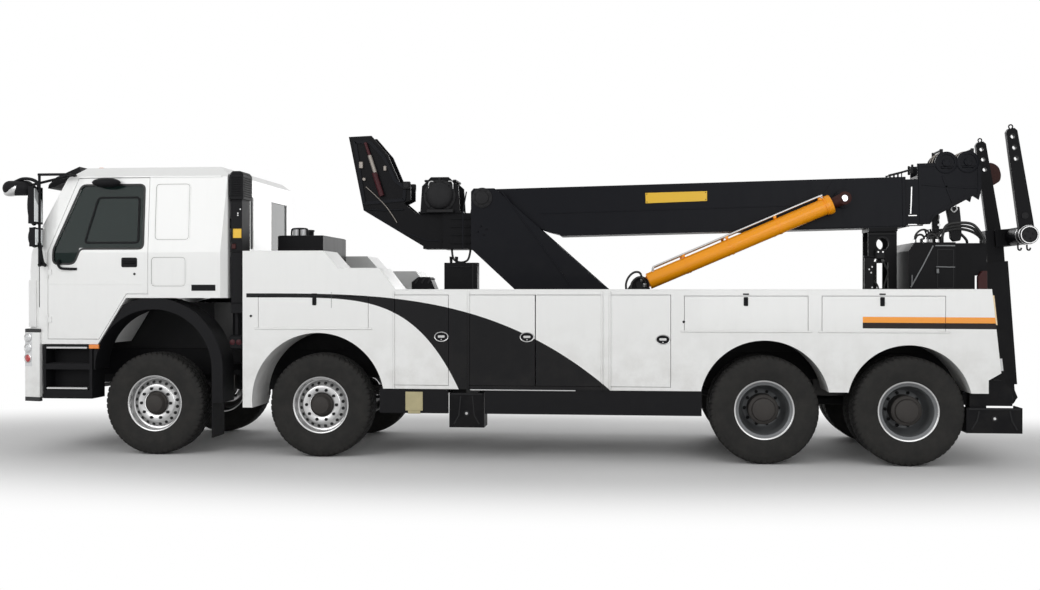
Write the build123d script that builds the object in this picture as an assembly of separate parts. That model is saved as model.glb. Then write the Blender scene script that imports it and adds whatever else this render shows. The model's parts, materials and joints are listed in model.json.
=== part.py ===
from build123d import *
import math
import os

# Heavy 8x4 tow truck: two steered front axles, two driven rear axles with twin
# wheels, a hollow cab, locker bodies on both sides, a lifting boom on a column
# and a folding underlift at the tail.
# Millimetres. +Z up, the truck faces -Y, its left side is +X.
# All stations (the s values) are counted along +Y from the first axle.
# write_part moves each piece so that the origin lies on the ground under the
# middle of the whole vehicle.

# Widths: the bodies are as wide as a road vehicle may be, cab and bumper keep within them
BODY_HALF = 1250.0
CAB_HALF = BODY_HALF - 50
BUMPER_HALF = CAB_HALF + 30

# The bumper: foremost station, low edge, top edge, top of its two corners
BUMPER_S = -1500.0
BUMPER_Z = (560.0, 1150.0, 1330.0)
BUMPER_T = 50.0
BUMPER_BACK_S = -1230.0
BUMPER_SWEEP = 80.0          # how far its corners lie behind its middle

# Small clearances
GAP = 5.0                    # round a moving panel
SEAT = 0.3                   # between faces that sit on each other
PIN_PLAY = 0.05              # radial play of a running pin

# Wheels
AXLE_S = (0.0, 1800.0, 6350.0, 7750.0)
TYRE_R = 542.0
TYRE_W = 300.0
RIM_R = 285.0                # bead seat
FLANGE_R = 298.0
RIM_W = 260.0
FRONT_WHEEL_X = 1010.0
TWIN_OUTER_X = 1080.0
TWIN_INNER_X = 740.0
SPINDLE_R = 40.0
REAR_SPINDLE_R = 60.0
VENT_COUNT = 20
VENT_PITCH_R = 222.0
VENT_R = 13.0
KINGPIN_X = 850.0
KINGPIN_R = 25.0

# Chassis
RAIL_OUT_X = 430.0
RAIL_W = 80.0
RAIL_T = 10.0
RAIL_Z0 = 800.0
RAIL_Z1 = 1090.0
RAIL_FRONT_S = -1330.0
RAIL_REAR_S = 8380.0
SPRING_W = 90.0
SPRING_T = 18.0
SPRING_LEAVES = 4
AXLE_TUBE_R = 85.0
AXLE_NOSE = 280.0
SHAFT_R = 48.0
SHAFT_Z = 795.0

# Cab
CAB_FRONT_S = -1450.0
CAB_WALL = 50.0
CAB_NOSE_HALF = 500.0        # the flat middle of the nose in plan
CAB_NOSE_IN = 80.0           # from the side to the nose's corner in plan
CAB_SHOULDER_IN = 60.0       # from the side to the roof's shoulder
CAB_SHOULDER_Z = 2940.0
CAB_ROOF_IN = 150.0          # from the side to the flat roof
CORNER_PANEL_T = 16.0
CAB_REAR_S = 800.0
CAB_ROOF_Z = 3050.0
CAB_BELT_Z = 2140.0
CAB_SILL_Z = 1170.0
CAB_ARCH_Z = 1660.0
DOOR_FRONT_S = -1150.0
DOOR_REAR_S = -50.0
DOOR_TOP_Z = 2930.0
DOOR_HINGE_X = CAB_HALF + 11.0
DOOR_LOW_Z = 1225.0
DOOR_HINGE_Z = (1400.0, 1900.0)
HINGE_BARREL_R = 10.0
HINGE_BARREL_H = 60.0
HINGE_LUG_H = 30.0
HINGE_SLIT = 0.5             # between a hinge's barrel and its lugs
GLASS_IN = 14.0              # from the outer skin to the glass
GLASS_T = 6.0

# Arch over the first wheel: inner radius, thickness, height of its middle
GUARD_R = 640.0
GUARD_T = 120.0
GUARD_Z = 900.0
GUARD_X = (840.0, CAB_HALF - 20)
GUARD_FRONT_S = -655.0
GUARD_LEG_Z = 560.0
GUARD_FLAP_Z = 190.0

# Mirrors
MIRROR_X = CAB_HALF + 95
MIRROR_S = -1195.0
MIRROR_ARM_R = 14.0
MIRROR_ROOT = (-880.0, 2962.0)   # where the arms meet the roof's shoulder

# The look-down mirror on its arm ahead of the roof corner: x, middle, height
DOWN_MIRROR = (CAB_HALF, -1480.0, 2830.0)
DOWN_MIRROR_R = 80.0
DOWN_MIRROR_LEN = 340.0

# Head lamp in the bumper's corner: inner x, low, top; and the tail lamp's low and top
HEAD_LAMP = (BUMPER_HALF - 245, 930.0, 1290.0)
HEAD_LAMP_S = -1330.0        # how far it runs back round the corner
TAIL_LAMP_Z = (950.0, 1070.0)

# Locker bodies
BODY_INNER_X = 700.0
BODY_FRONT_S = 1000.0
BODY_REAR_TOP_S = 8530.0
BODY_REAR_LOW_S = 8640.0
BODY_NOTCH = (8500.0, 860.0, 930.0)   # rear lower corner: station, height there, height at the rear
BODY_TOP_Z = 1750.0
BODY_LOW_Z = 730.0
BODY_FOOT_Z = 520.0
STEP_TOP_Z = 2150.0
STEP_END_S = 1860.0
STEP_LOW_Z = 1970.0
STEP_LOW_END_S = 2450.0
ARCH_R = (700.0, 640.0, 600.0)
ARCH_Z = 600.0
WALL = 30.0
LEAF_T = 30.0
HINGE_R = 9.0
HINGE_X = BODY_HALF + HINGE_R + 0.5

# Locker leaves: name, front station, rear station, low, top, hinged edge
LEAVES = (
    ("one", 1170.0, 2330.0, 1345.0, 1675.0, "low"),
    ("two", 2600.0, 3165.0, 770.0, 1690.0, "front"),
    ("three", 3375.0, 4055.0, 770.0, 1690.0, "front"),
    ("four", 4065.0, 4735.0, 770.0, 1690.0, "rear"),
    ("five", 4815.0, 5420.0, 770.0, 1690.0, "front"),
    ("six", 5560.0, 6770.0, 1330.0, 1680.0, "low"),
    ("seven", 6910.0, 8090.0, 1330.0, 1680.0, "low"),
)

# Deck and column
DECK_T = 40.0
DECK_Z = 1700.0
TANK_TOP_Z = 2340.0
COLUMN_X = 250.0             # inner face of each side plate
COLUMN_T = 35.0
PIVOT_S = 3385.0
PIVOT_Z = 2760.0
PIVOT_R = 55.0

# Boom
BOOM_TILT = 1.2              # degrees above level when parked
BOOM_HALF = 200.0
BOOM_WALL = 14.0
BOOM_TOP = 100.0             # above the pivot, in the boom's own line
BOOM_LOW = -438.0
BOOM_MOUTH = 4560.0          # from the pivot
STAGE_GAP = 12.0
STAGE_WALL = 14.0
STAGE_REST_OUT = 190.0
HEAD_LEN = 600.0             # from the stage's end to the head's end
SHEAVE_R = 108.0
SHEAVE_UP = 240.0            # above the pivot's line
SHEAVE_STEP = 225.0
SHEAVE_PIN_R = 30.0
HEAD_CHEEK_T = 22.0

# Boom rest
REST_S0 = 7560.0
REST_S1 = 7860.0

# The valve housing on the deck's end: front, rear, top
TAIL_HOUSING = (7905.0, 8378.0, 2240.0)
TAIL_HOUSING_HALF = 520.0

# Lift cylinders
LIFT_X = 310.0
LIFT_BASE_S = 5120.0
LIFT_BASE_Z = 1800.0
LIFT_EYE_S = 7280.0
LIFT_EYE_Z = 2720.0
LIFT_PIN_R = 30.0
BARREL_R = 88.0
BARREL_FOOT = 100.0          # from the base pin to the barrel's closed end
BARREL_LEN = 2200.0
ROD_FOOT = 400.0             # from the base pin to the rod's end inside the closed barrel
ROD_R = 48.0
ROD_EYE_R = 66.0
LIFT_BOSS_R = 95.0           # round the rod's eye on the boom, and the ears round the base pin

# Winch and cranked frame
WINCH_S = 2900.0
WINCH_Z = 2790.0
DRUM_R = 110.0
WINCH_HALF = 190.0

# Underlift
FOLD_S = 9016.0
FOLD_Z = 600.0
ARM_LEAN = 4.2               # degrees forward of upright
ARM_HALF = 115.0
ARM_LEN = 1450.0
ARM_WALL = 14.0
INNER_HALF = 90.0
CROSSBAR_HALF = 620.0
CROSSBAR_BACK = 190.0        # from the arm's line to the crossbar's line
CROSSBAR_ALONG = 1700.0
CROSSBAR_R = 95.0
FORK_X = 545.0
FORK_W = 150.0
FORK_TOP_W = 112.0
FORK_T = 60.0
FORK_LEN = 1110.0
FORK_LEAN = 4.3              # further forward than the arm
FORK_HOLE_R = 22.0
FORK_HOLE_STEP = 115.0
FORK_HOLE_COUNT = 3
FORK_HOLE_DOWN = 85.0        # from the fork's tip to its top hole
MAST_X = 180.0

# The whole truck runs from the look-down mirror's nose to the crossbar's back.
FRONT_S = DOWN_MIRROR[1] - DOWN_MIRROR_LEN / 2
TAIL_S = (
    FOLD_S + CROSSBAR_BACK * math.cos(math.radians(ARM_LEAN))
    - CROSSBAR_ALONG * math.sin(math.radians(ARM_LEAN)) + CROSSBAR_R)
MIDDLE_S = (FRONT_S + TAIL_S) / 2

# Jacks: station, half-width of tube, x, foot from, foot to, beam from, beam to,
# top of the foot's walls
FRONT_JACK = (3270.0, 65.0, BODY_HALF - 170, 3170.0, 3530.0, 3220.0, 3320.0, 690.0)
REAR_JACK = (8432.0, 80.0, BODY_HALF - 200, 8310.0, 8840.0, 8305.0, 8370.0, 585.0)
JACK_BEAM_Z0 = 600.0
JACK_BEAM_Z1 = 725.0
JACK_FOOT_Z = 360.0
JACK_FOOT_T = 25.0
JACK_FOOT_HALF = 130.0
JACK_FOOT_WALL = 10.0
JACK_WALL = 8.0
JACK_TOP_Z = 1290.0
JACK_DOWN = JACK_FOOT_Z - JACK_FOOT_T - 5.0

SIDES = (("left", 1), ("right", -1))


# Helpers

def block(x0, x1, s0, s1, z0, z1):
    """A box between two corners."""
    size = (abs(x1 - x0), abs(s1 - s0), abs(z1 - z0))
    return Pos((x0 + x1) / 2, (s0 + s1) / 2, (z0 + z1) / 2) * Box(*size)


def outline(points, grow=0.0):
    """A flat face from corner points, grown (or shrunk) evenly all round."""
    face = make_face(Polyline(*points, close=True))
    return offset(face, amount=grow, kind=Kind.INTERSECTION) if grow else face


def side_prism(points, x0, x1, grow=0.0):
    """A side-view outline of (station, height) points, from x0 to x1."""
    return extrude(Plane.YZ.offset(x0) * outline(points, grow), amount=x1 - x0)


def front_prism(points, s0, s1, grow=0.0):
    """A front-view outline of (x, height) points, from station s0 to s1."""
    plane = Plane(origin=(0, s1, 0), x_dir=(1, 0, 0), z_dir=(0, -1, 0))
    return extrude(plane * outline(points, grow), amount=s1 - s0)


def plan_prism(points, z0, z1):
    """A plan outline of (x, station) points, from height z0 to z1."""
    return extrude(Plane.XY.offset(z0) * outline(points), amount=z1 - z0)


def across(radius, x0, x1, s, z):
    """A round bar along X."""
    return Pos((x0 + x1) / 2, s, z) * Cylinder(radius, abs(x1 - x0), rotation=(0, 90, 0))


def along(radius, x, s0, s1, z):
    """A round bar along the truck."""
    return Pos(x, (s0 + s1) / 2, z) * Cylinder(radius, abs(s1 - s0), rotation=(90, 0, 0))


def link(radius, x, s0, z0, s1, z1):
    """A round bar between two points in side view."""
    length = math.hypot(s1 - s0, z1 - z0)
    slope = math.degrees(math.atan2(z1 - z0, s1 - s0))
    return Pos(x, s0, z0) * Rot(slope, 0, 0) * along(radius, 0, 0, length, 0)


def upright(radius, x, s, z0, z1):
    """A round bar along Z."""
    return Pos(x, s, (z0 + z1) / 2) * Cylinder(radius, abs(z1 - z0))


def flip(shape):
    """The same piece on the other side of the truck."""
    return mirror(shape, about=Plane.YZ)


def on_side(shape, sign):
    """A piece drawn on the left, put on the left (1) or the right (-1)."""
    return shape if sign > 0 else flip(shape)


def both(shape):
    """A piece and its twin on the other side."""
    return [shape, flip(shape)]


def write_part(node, shapes):
    """Writes one node; its origin is on the ground under the vehicle's middle."""
    shapes = shapes if isinstance(shapes, (list, tuple)) else [shapes]
    solids = [solid for shape in shapes for solid in shape.solids()]
    moved = [solid.moved(Location((0, -MIDDLE_S, 0))) for solid in solids]
    whole = moved[0] if len(moved) == 1 else Compound(children=moved)
    export_step(whole, f"parts/{node}.step")


# Running gear

def ring(points):
    """A turned piece about the X axis from an outline of (x, radius) points."""
    face = make_face(Polyline(*points, close=True))
    return revolve(Plane.XZ * face, Axis.X, 360)


def tyre():
    """A tyre about the X axis with flat tread, shoulders and full side walls."""
    half = TYRE_W / 2
    bead = RIM_W / 2 - 12
    seat = RIM_R + SEAT
    return ring([
        (-bead, seat), (-half, seat + 120), (-half + 8, TYRE_R - 40), (-half + 40, TYRE_R),
        (half - 40, TYRE_R), (half - 8, TYRE_R - 40), (half, seat + 120), (bead, seat),
    ])


def front_rim():
    """A bowed disc wheel with its hub, bored for the spindle; +X is outwards."""
    half = RIM_W / 2
    bore = SPINDLE_R + PIN_PLAY
    rim = ring([
        (-70, bore), (-70, 120), (72, 120), (58, 215), (22, 245), (22, RIM_R - 14),
        (-half, RIM_R - 14), (-half, FLANGE_R), (-half + 11, FLANGE_R), (-half + 11, RIM_R),
        (half - 11, RIM_R), (half - 11, FLANGE_R), (half, FLANGE_R), (half, RIM_R - 14),
        (40, RIM_R - 14), (40, 250), (76, 222), (90, 120), (90, 98), (142, 90),
        (150, 60), (150, 0), (60, 0), (60, bore),
    ])
    return rim - vents(0, 100)


def vents(x0, x1):
    """The ring of round vent holes in a wheel disc."""
    return [
        Rot(turn * 360 / VENT_COUNT, 0, 0) * across(VENT_R, x0, x1, 0, VENT_PITCH_R)
        for turn in range(VENT_COUNT)
    ]


def twin_rims():
    """Two dished rims back to back on one driven hub, about the X axis.

    X is counted from the middle between the two tyres."""
    half_gap = (TWIN_OUTER_X - TWIN_INNER_X) / 2
    half = RIM_W / 2
    low = RIM_R - 14
    rim = ring([
        (0, 110), (0, 215), (half_gap - 90, 250), (half_gap - 90, low), (half_gap - half, low),
        (half_gap - half, FLANGE_R), (half_gap - half + 11, FLANGE_R), (half_gap - half + 11, RIM_R),
        (half_gap + half - 11, RIM_R), (half_gap + half - 11, FLANGE_R), (half_gap + half, FLANGE_R),
        (half_gap + half, low), (half_gap - 72, low), (half_gap - 72, 240), (18, 205), (18, 110),
    ])
    bore = REAR_SPINDLE_R + PIN_PLAY
    hub = ring([
        (-150, bore), (-150, 112), (0, 112), (0, 160), (120, 150), (150, 125), (235, 110),
        (250, 90), (250, 0), (60, 0), (60, bore),
    ])
    return rim + mirror(rim, about=Plane.YZ) + hub


def front_wheel(axle, sign):
    """Tyre and rim of one steered wheel."""
    place = Pos(FRONT_WHEEL_X, AXLE_S[axle], TYRE_R)
    return [on_side(place * tyre(), sign), on_side(place * front_rim(), sign)]


def twin_wheel(axle, sign):
    """Two tyres and their rims on one rear hub."""
    centre = (TWIN_OUTER_X + TWIN_INNER_X) / 2
    pieces = [Pos(x, AXLE_S[axle], TYRE_R) * tyre() for x in (TWIN_OUTER_X, TWIN_INNER_X)]
    pieces.append(Pos(centre, AXLE_S[axle], TYRE_R) * twin_rims())
    return [on_side(piece, sign) for piece in pieces]


def knuckle(axle, sign):
    """Two ears on the kingpin, the spindle that carries the hub, and the arm."""
    s = AXLE_S[axle]
    pin = upright(KINGPIN_R, KINGPIN_X, s, TYRE_R - 110, TYRE_R + 110)
    ears = [
        upright(58, KINGPIN_X, s, TYRE_R + low, TYRE_R + low + 48) for low in (-109, 61)
    ]
    cheek = block(KINGPIN_X - 20, KINGPIN_X + 40, s - 50, s + 50, TYRE_R - 109, TYRE_R + 109)
    window = block(KINGPIN_X - 90, KINGPIN_X + 62, s - 90, s + 90, TYRE_R - 61, TYRE_R + 61)
    back = block(KINGPIN_X + 62, KINGPIN_X + 84, s - 50, s + 50, TYRE_R - 109, TYRE_R + 109)
    webs = block(KINGPIN_X, KINGPIN_X + 84, s - 50, s + 50, TYRE_R - 109, TYRE_R + 109)
    spindle = across(SPINDLE_R, KINGPIN_X + 62, FRONT_WHEEL_X + 55, s, TYRE_R)
    arm = block(KINGPIN_X - 20, KINGPIN_X + 10, s + 40, s + 190, TYRE_R - 105, TYRE_R - 75)
    body = (webs + cheek - window) + ears[0] + ears[1] + back + pin + spindle + arm
    return on_side(body, sign)


def front_beam(axle):
    """A dropped beam with an eye at each end for the kingpin."""
    s = AXLE_S[axle]
    points = [
        (-KINGPIN_X, TYRE_R - 45), (-650, TYRE_R - 45), (-520, TYRE_R - 120), (520, TYRE_R - 120),
        (650, TYRE_R - 45), (KINGPIN_X, TYRE_R - 45), (KINGPIN_X, TYRE_R + 45), (640, TYRE_R + 45),
        (500, TYRE_R - 10), (-500, TYRE_R - 10), (-640, TYRE_R + 45), (-KINGPIN_X, TYRE_R + 45),
    ]
    beam = front_prism(points, s - 45, s + 45)
    for x in (-KINGPIN_X, KINGPIN_X):
        beam += upright(56, x, s, TYRE_R - 60, TYRE_R + 60)
    for x in (-KINGPIN_X, KINGPIN_X):
        beam -= upright(KINGPIN_R + PIN_PLAY, x, s, TYRE_R - 200, TYRE_R + 200)
    return beam


def rear_axle(axle):
    """A driven axle: tube, round differential housing and end spindles."""
    s = AXLE_S[axle]
    inner_hub = (TWIN_OUTER_X + TWIN_INNER_X) / 2 - 150
    tube = across(AXLE_TUBE_R, -inner_hub + 10, inner_hub - 10, s, TYRE_R)
    spindle = across(REAR_SPINDLE_R, -inner_hub - 195, inner_hub + 195, s, TYRE_R)
    bowl = along(205, 0, s - 90, s + 150, TYRE_R)
    nose = along(90, 0, s - AXLE_NOSE, s - 90, TYRE_R + 20)
    return tube + spindle + bowl + nose


def axles():
    return [front_beam(0), front_beam(1), rear_axle(2), rear_axle(3)]


def front_spring(s):
    """Leaves on the beam, each longer than the one below, hung from the rail."""
    x = RAIL_OUT_X - SPRING_W / 2
    low = TYRE_R - 10 + SEAT
    pack = block(x - 60, x + 60, s - 60, s + 60, low, low + 110)
    for step in range(SPRING_LEAVES):
        half = 620 * (0.4 + 0.6 * step / (SPRING_LEAVES - 1))
        z = low + 30 + SPRING_T * step
        pack += block(x - SPRING_W / 2, x + SPRING_W / 2, s - half, s + half, z, z + SPRING_T)
    for end in (s - 590, s + 590):
        pack += block(x - 35, x + 35, end - 30, end + 30, low + 30 + SPRING_T * 3, RAIL_Z0 - SEAT)
    return pack


def rear_spring():
    """Leaves across both driven axles, turning on a saddle under the rail."""
    x = RAIL_OUT_X - SPRING_W / 2
    s0, s1 = AXLE_S[2], AXLE_S[3]
    middle = (s0 + s1) / 2
    low = TYRE_R + AXLE_TUBE_R + SEAT
    pack = block(x - 40, x + 40, middle - 110, middle + 110, low, RAIL_Z0 - SEAT)
    for step in range(SPRING_LEAVES):
        half = ((s1 - s0) / 2 + 60) * (1 - 0.18 * step)
        z = low + SPRING_T * step
        pack += block(x - SPRING_W / 2, x + SPRING_W / 2, middle - half, middle + half, z, z + SPRING_T)
    return pack


def leaf_springs():
    """Front springs over each beam, and one long pack over the rear pair."""
    packs = [front_spring(AXLE_S[0]), front_spring(AXLE_S[1]), rear_spring()]
    return [piece for pack in packs for piece in both(pack)]


def c_rail():
    """One chassis rail, a channel open to the middle."""
    x1 = RAIL_OUT_X
    x0 = RAIL_OUT_X - RAIL_W
    outer = block(x0, x1, RAIL_FRONT_S, RAIL_REAR_S, RAIL_Z0, RAIL_Z1)
    hollow = block(x0 - 5, x1 - RAIL_T, RAIL_FRONT_S - 5, RAIL_REAR_S + 5, RAIL_Z0 + RAIL_T, RAIL_Z1 - RAIL_T)
    return outer - hollow


def chassis_frame():
    """Two rails joined by cross-members, with the jack tubes."""
    frame = c_rail() + flip(c_rail())
    inner = RAIL_OUT_X - RAIL_T
    for s in (-1270, 1250, 2700, 4300, 5500, 7075, 8300):
        frame += block(-inner, inner, s - 40, s + 40, RAIL_Z0 + 60, RAIL_Z1 - 60)
    for x in (-RAIL_OUT_X + 40, RAIL_OUT_X - 40):
        frame += block(x - 40, x + 40, -1220, -1120, RAIL_Z1, CAB_SILL_Z - SEAT)
        frame += block(x - 40, x + 40, 600, 700, RAIL_Z1, CAB_ARCH_Z - SEAT)
    for jack in (FRONT_JACK, REAR_JACK):
        frame += jack_beam(jack)
    for housing in both(rear_jack_housing()):
        frame += housing
    return frame


def rear_jack_housing():
    """The closed housing behind a rear jack's tube, its top sloped to the rear."""
    s, half, x = REAR_JACK[:3]
    s0, s1 = s + half, REAR_JACK[4] - 80
    top = BODY_NOTCH[1] - 2 * GAP
    points = [(s0, JACK_BEAM_Z0), (s0, top), (s1 - 100, top), (s1, top - 90), (s1, JACK_BEAM_Z0)]
    return side_prism(points, x - half, x + half)


def jack_beam(jack):
    """The cross beam under the rails and the square tube at each end."""
    s, half, x, foot_s0, foot_s1, beam_s0, beam_s1 = jack[:7]
    beam = block(-x, x, beam_s0, beam_s1, JACK_BEAM_Z0, JACK_BEAM_Z1)
    for hanger in both(block(RAIL_OUT_X - 70, RAIL_OUT_X, beam_s0, beam_s1, JACK_BEAM_Z1, RAIL_Z0)):
        beam += hanger
    for sign in (-1, 1):
        beam += block(sign * x - half, sign * x + half, s - half, s + half, 480, JACK_TOP_Z)
    for sign in (-1, 1):
        bore = half - JACK_WALL
        beam -= block(sign * x - bore, sign * x + bore, s - bore, s + bore, 470, JACK_TOP_Z - 10)
    return beam


def jack_leg(jack, sign):
    """The leg that slides down out of its tube, with its foot plate.

    Three walls stand on the plate; the side towards the frame is open for the beam."""
    s, half, x, foot_s0, foot_s1 = jack[:5]
    wall_top = jack[7]
    leg_half = half - JACK_WALL - SEAT
    leg = block(x - leg_half, x + leg_half, s - leg_half, s + leg_half, JACK_FOOT_Z, JACK_TOP_Z - 40)
    x0, x1 = x - JACK_FOOT_HALF, x + JACK_FOOT_HALF
    foot = block(x0, x1, foot_s0, foot_s1, JACK_FOOT_Z - JACK_FOOT_T, wall_top)
    foot -= block(
        x0 - GAP, x1 - JACK_FOOT_WALL, foot_s0 + JACK_FOOT_WALL, foot_s1 - JACK_FOOT_WALL,
        JACK_FOOT_Z, wall_top + GAP)
    return on_side(leg + foot, sign)


def powertrain():
    """The engine as one block, with the gearbox and the shafts to the rear."""
    engine = block(-330, 330, -1000, 350, 700, 1600)
    gearbox = block(-200, 200, 350, 1150, 620, 1060)
    bend_s = AXLE_S[2] - 1150
    nose_s = AXLE_S[2] - AXLE_NOSE
    front_shaft = link(SHAFT_R, 0, 1100, SHAFT_Z, bend_s, SHAFT_Z)
    rear_shaft = link(SHAFT_R, 0, bend_s - 30, SHAFT_Z + 6, nose_s + 20, TYRE_R + 20)
    room = SHAFT_R + 20
    rear_shaft -= block(-room, room, nose_s - SEAT, nose_s + 60, TYRE_R - 60, TYRE_R + 100)
    joint = across(SHAFT_R + 12, -60, 60, bend_s, SHAFT_Z)
    through_shaft = along(SHAFT_R, 0, AXLE_S[2] + 150 + SEAT, AXLE_S[3] - AXLE_NOSE - SEAT, TYRE_R)
    return [engine + gearbox + front_shaft + rear_shaft + joint, through_shaft]


# Cab

def cab_form(inset, side_inset=None):
    """The cab's outer form, drawn in by an inset all round.

    With a side inset of its own, only the outline in side view differs: at 0
    what is left beside the form is its side walls, from floor to roof."""
    shoulder = CAB_HALF - CAB_SHOULDER_IN
    roof_edge = CAB_HALF - CAB_ROOF_IN
    nose = CAB_HALF - CAB_NOSE_IN
    side = [
        (CAB_FRONT_S, CAB_SILL_Z), (CAB_FRONT_S, 1450), (CAB_FRONT_S + 80, CAB_BELT_Z), (-960, 2930),
        (-780, CAB_ROOF_Z), (CAB_REAR_S - 100, CAB_ROOF_Z), (CAB_REAR_S, CAB_ROOF_Z - 80),
        (CAB_REAR_S, CAB_ARCH_Z), (-290, CAB_ARCH_Z), (-600, CAB_SILL_Z),
    ]
    front = [
        (-CAB_HALF, CAB_SILL_Z), (CAB_HALF, CAB_SILL_Z), (CAB_HALF, CAB_BELT_Z),
        (shoulder, CAB_SHOULDER_Z), (roof_edge, CAB_ROOF_Z), (-roof_edge, CAB_ROOF_Z),
        (-shoulder, CAB_SHOULDER_Z), (-CAB_HALF, CAB_BELT_Z),
    ]
    plan = [
        (-CAB_HALF, CAB_FRONT_S + 200), (-nose, CAB_FRONT_S + 60), (-CAB_NOSE_HALF, CAB_FRONT_S),
        (CAB_NOSE_HALF, CAB_FRONT_S), (nose, CAB_FRONT_S + 60), (CAB_HALF, CAB_FRONT_S + 200),
        (CAB_HALF, CAB_REAR_S - 60), (shoulder, CAB_REAR_S), (-shoulder, CAB_REAR_S),
        (-CAB_HALF, CAB_REAR_S - 60),
    ]
    side_inset = inset if side_inset is None else side_inset
    faces = [outline(side, -side_inset), outline(front, -inset), outline(plan, -inset)]
    wide = extrude(Plane.YZ.offset(-2000) * faces[0], amount=4000)
    front_plane = Plane(origin=(0, 2000, 0), x_dir=(1, 0, 0), z_dir=(0, -1, 0))
    deep = extrude(front_plane * faces[1], amount=5000)
    tall = extrude(Plane.XY.offset(500) * faces[2], amount=3500)
    return wide & deep & tall


# The cab door's edge in side view
DOOR_EDGE = (
    (DOOR_FRONT_S, DOOR_LOW_Z), (DOOR_FRONT_S, CAB_BELT_Z + 10), (-830, DOOR_TOP_Z),
    (DOOR_REAR_S, DOOR_TOP_Z), (DOOR_REAR_S, CAB_ARCH_Z + 45), (-285, CAB_ARCH_Z + 45),
    (-589, DOOR_LOW_Z),
)

# The door window in side view, with its drop at the front
WINDOW_EDGE = (
    (-1085, 2030), (-1085, 2170), (-790, 2850), (-110, 2850), (-110, 2190), (-800, 2190), (-870, 2030),
)

# The windscreen in front view
SCREEN_LOW_HALF = CAB_HALF - 110
SCREEN_TOP_HALF = CAB_HALF - 190
SCREEN_EDGE = (
    (-SCREEN_LOW_HALF, 2200), (SCREEN_LOW_HALF, 2200), (SCREEN_TOP_HALF, 2880), (-SCREEN_TOP_HALF, 2880))

# How far in and out a cut through the cab's side runs
SIDE_CUT = (CAB_HALF - 300, CAB_HALF + 200)

# The two rear-wall windows: middle x, half width, low, top
REAR_PANES = ((-620, 300, 2200, 2780), (620, 300, 2200, 2780))


def cab_shell():
    """Floor, roof, rear wall, pillars and nose of the cab; doors and glass cut."""
    shell = cab_form(0) - cab_form(CAB_WALL)
    room = cab_form(CAB_WALL + GAP, 0)
    for doorway in both(side_prism(DOOR_EDGE, *SIDE_CUT, GAP) - room):
        shell -= doorway
    shell -= front_prism(SCREEN_EDGE, -1700, -700)
    for x, half, low, top in REAR_PANES:
        shell -= block(x - half, x + half, 700, 900, low, top)
    shell -= block(-380, 380, -1050, 400, CAB_SILL_Z - 20, 1640)
    for sign in (-1, 1):
        for z in DOOR_HINGE_Z:
            shell += hinge_lugs(sign, z)
    return shell + corner_panels()


def corner_panels():
    """The raised air deflectors on the cab's two front corners."""
    raised = cab_form(-CORNER_PANEL_T) - cab_form(GLASS_IN)
    panel = raised & block(CAB_HALF - 160, CAB_HALF + 100, CAB_FRONT_S - 50, CAB_FRONT_S + 160, 1350, 1850)
    return both(panel)


def hinge_lugs(sign, z):
    """The two lugs of one cab door hinge, above and below the door's barrel."""
    lugs = []
    hinge_s = DOOR_FRONT_S - GAP
    above = z + HINGE_BARREL_H + HINGE_SLIT
    below = z - HINGE_SLIT - HINGE_LUG_H
    for low in (below, above):
        high = low + HINGE_LUG_H
        lug = upright(HINGE_BARREL_R, DOOR_HINGE_X, hinge_s, low, high)
        lug += block(CAB_HALF - 10, DOOR_HINGE_X, hinge_s - 30, hinge_s - 6, low, high)
        lugs.append(on_side(lug, sign))
    return lugs


def cab_door(sign):
    """The door leaf, as thick as the wall, with its window cut."""
    wall = cab_form(0) - cab_form(CAB_WALL, 0)
    leaf = wall & side_prism(DOOR_EDGE, *SIDE_CUT)
    leaf -= side_prism(WINDOW_EDGE, *SIDE_CUT)
    hinge_s = DOOR_FRONT_S - GAP
    for z in DOOR_HINGE_Z:
        leaf += upright(HINGE_BARREL_R, DOOR_HINGE_X, hinge_s, z, z + HINGE_BARREL_H)
        leaf += block(CAB_HALF - 5, DOOR_HINGE_X, hinge_s, DOOR_FRONT_S + 40, z, z + HINGE_BARREL_H)
    return on_side(leaf, sign)


def glass_skin():
    """A thin skin inside the cab's outer form, in which every pane lies."""
    return cab_form(GLASS_IN) - cab_form(GLASS_IN + GLASS_T)


def cab_door_glass(sign):
    """The door's pane, seated in its window."""
    return on_side(glass_skin() & side_prism(WINDOW_EDGE, *SIDE_CUT, -SEAT), sign)


def cab_glass():
    """Windscreen and rear panes."""
    skin = glass_skin()
    panes = [skin & front_prism(SCREEN_EDGE, -1700, -700, -SEAT)]
    for x, half, low, top in REAR_PANES:
        edge = half - SEAT
        panes.append(skin & block(x - edge, x + edge, 700, 900, low + SEAT, top - SEAT))
    return panes


def seat(x):
    """A seat with a cushion and a leaning back on its base."""
    floor = CAB_ARCH_Z + CAB_WALL + SEAT
    base = block(x - 190, x + 190, -250, 20, floor, floor + 230)
    cushion = block(x - 260, x + 260, -520, 40, floor + 230, floor + 350)
    back = side_prism(
        [(-10, floor + 350), (110, floor + 350), (190, floor + 990), (100, floor + 1010)],
        x - 250, x + 250)
    return base + cushion + back


def steering_wheel():
    """Rim, one cross spoke and column."""
    rim = Torus(220, 16)
    spoke = Box(420, 50, 24)
    column = Pos(0, 0, -150) * Cylinder(30, 300)
    return Pos(620, -800, 2180) * Rot(-35, 0, 0) * (rim + spoke + column)


def cab_interior():
    """Seats, bunk, dashboard and steering wheel."""
    room = cab_form(CAB_WALL + SEAT)
    bunk = room & block(-BODY_HALF, BODY_HALF, 260, 900, 1500, 2050)
    dash = room & side_prism(
        [(-1500, 1700), (-1000, 1800), (-940, 2060), (-1080, 2160), (-1500, 2160)], -BODY_HALF, BODY_HALF)
    return [seat(620), seat(-620), bunk, dash + steering_wheel()]


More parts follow.
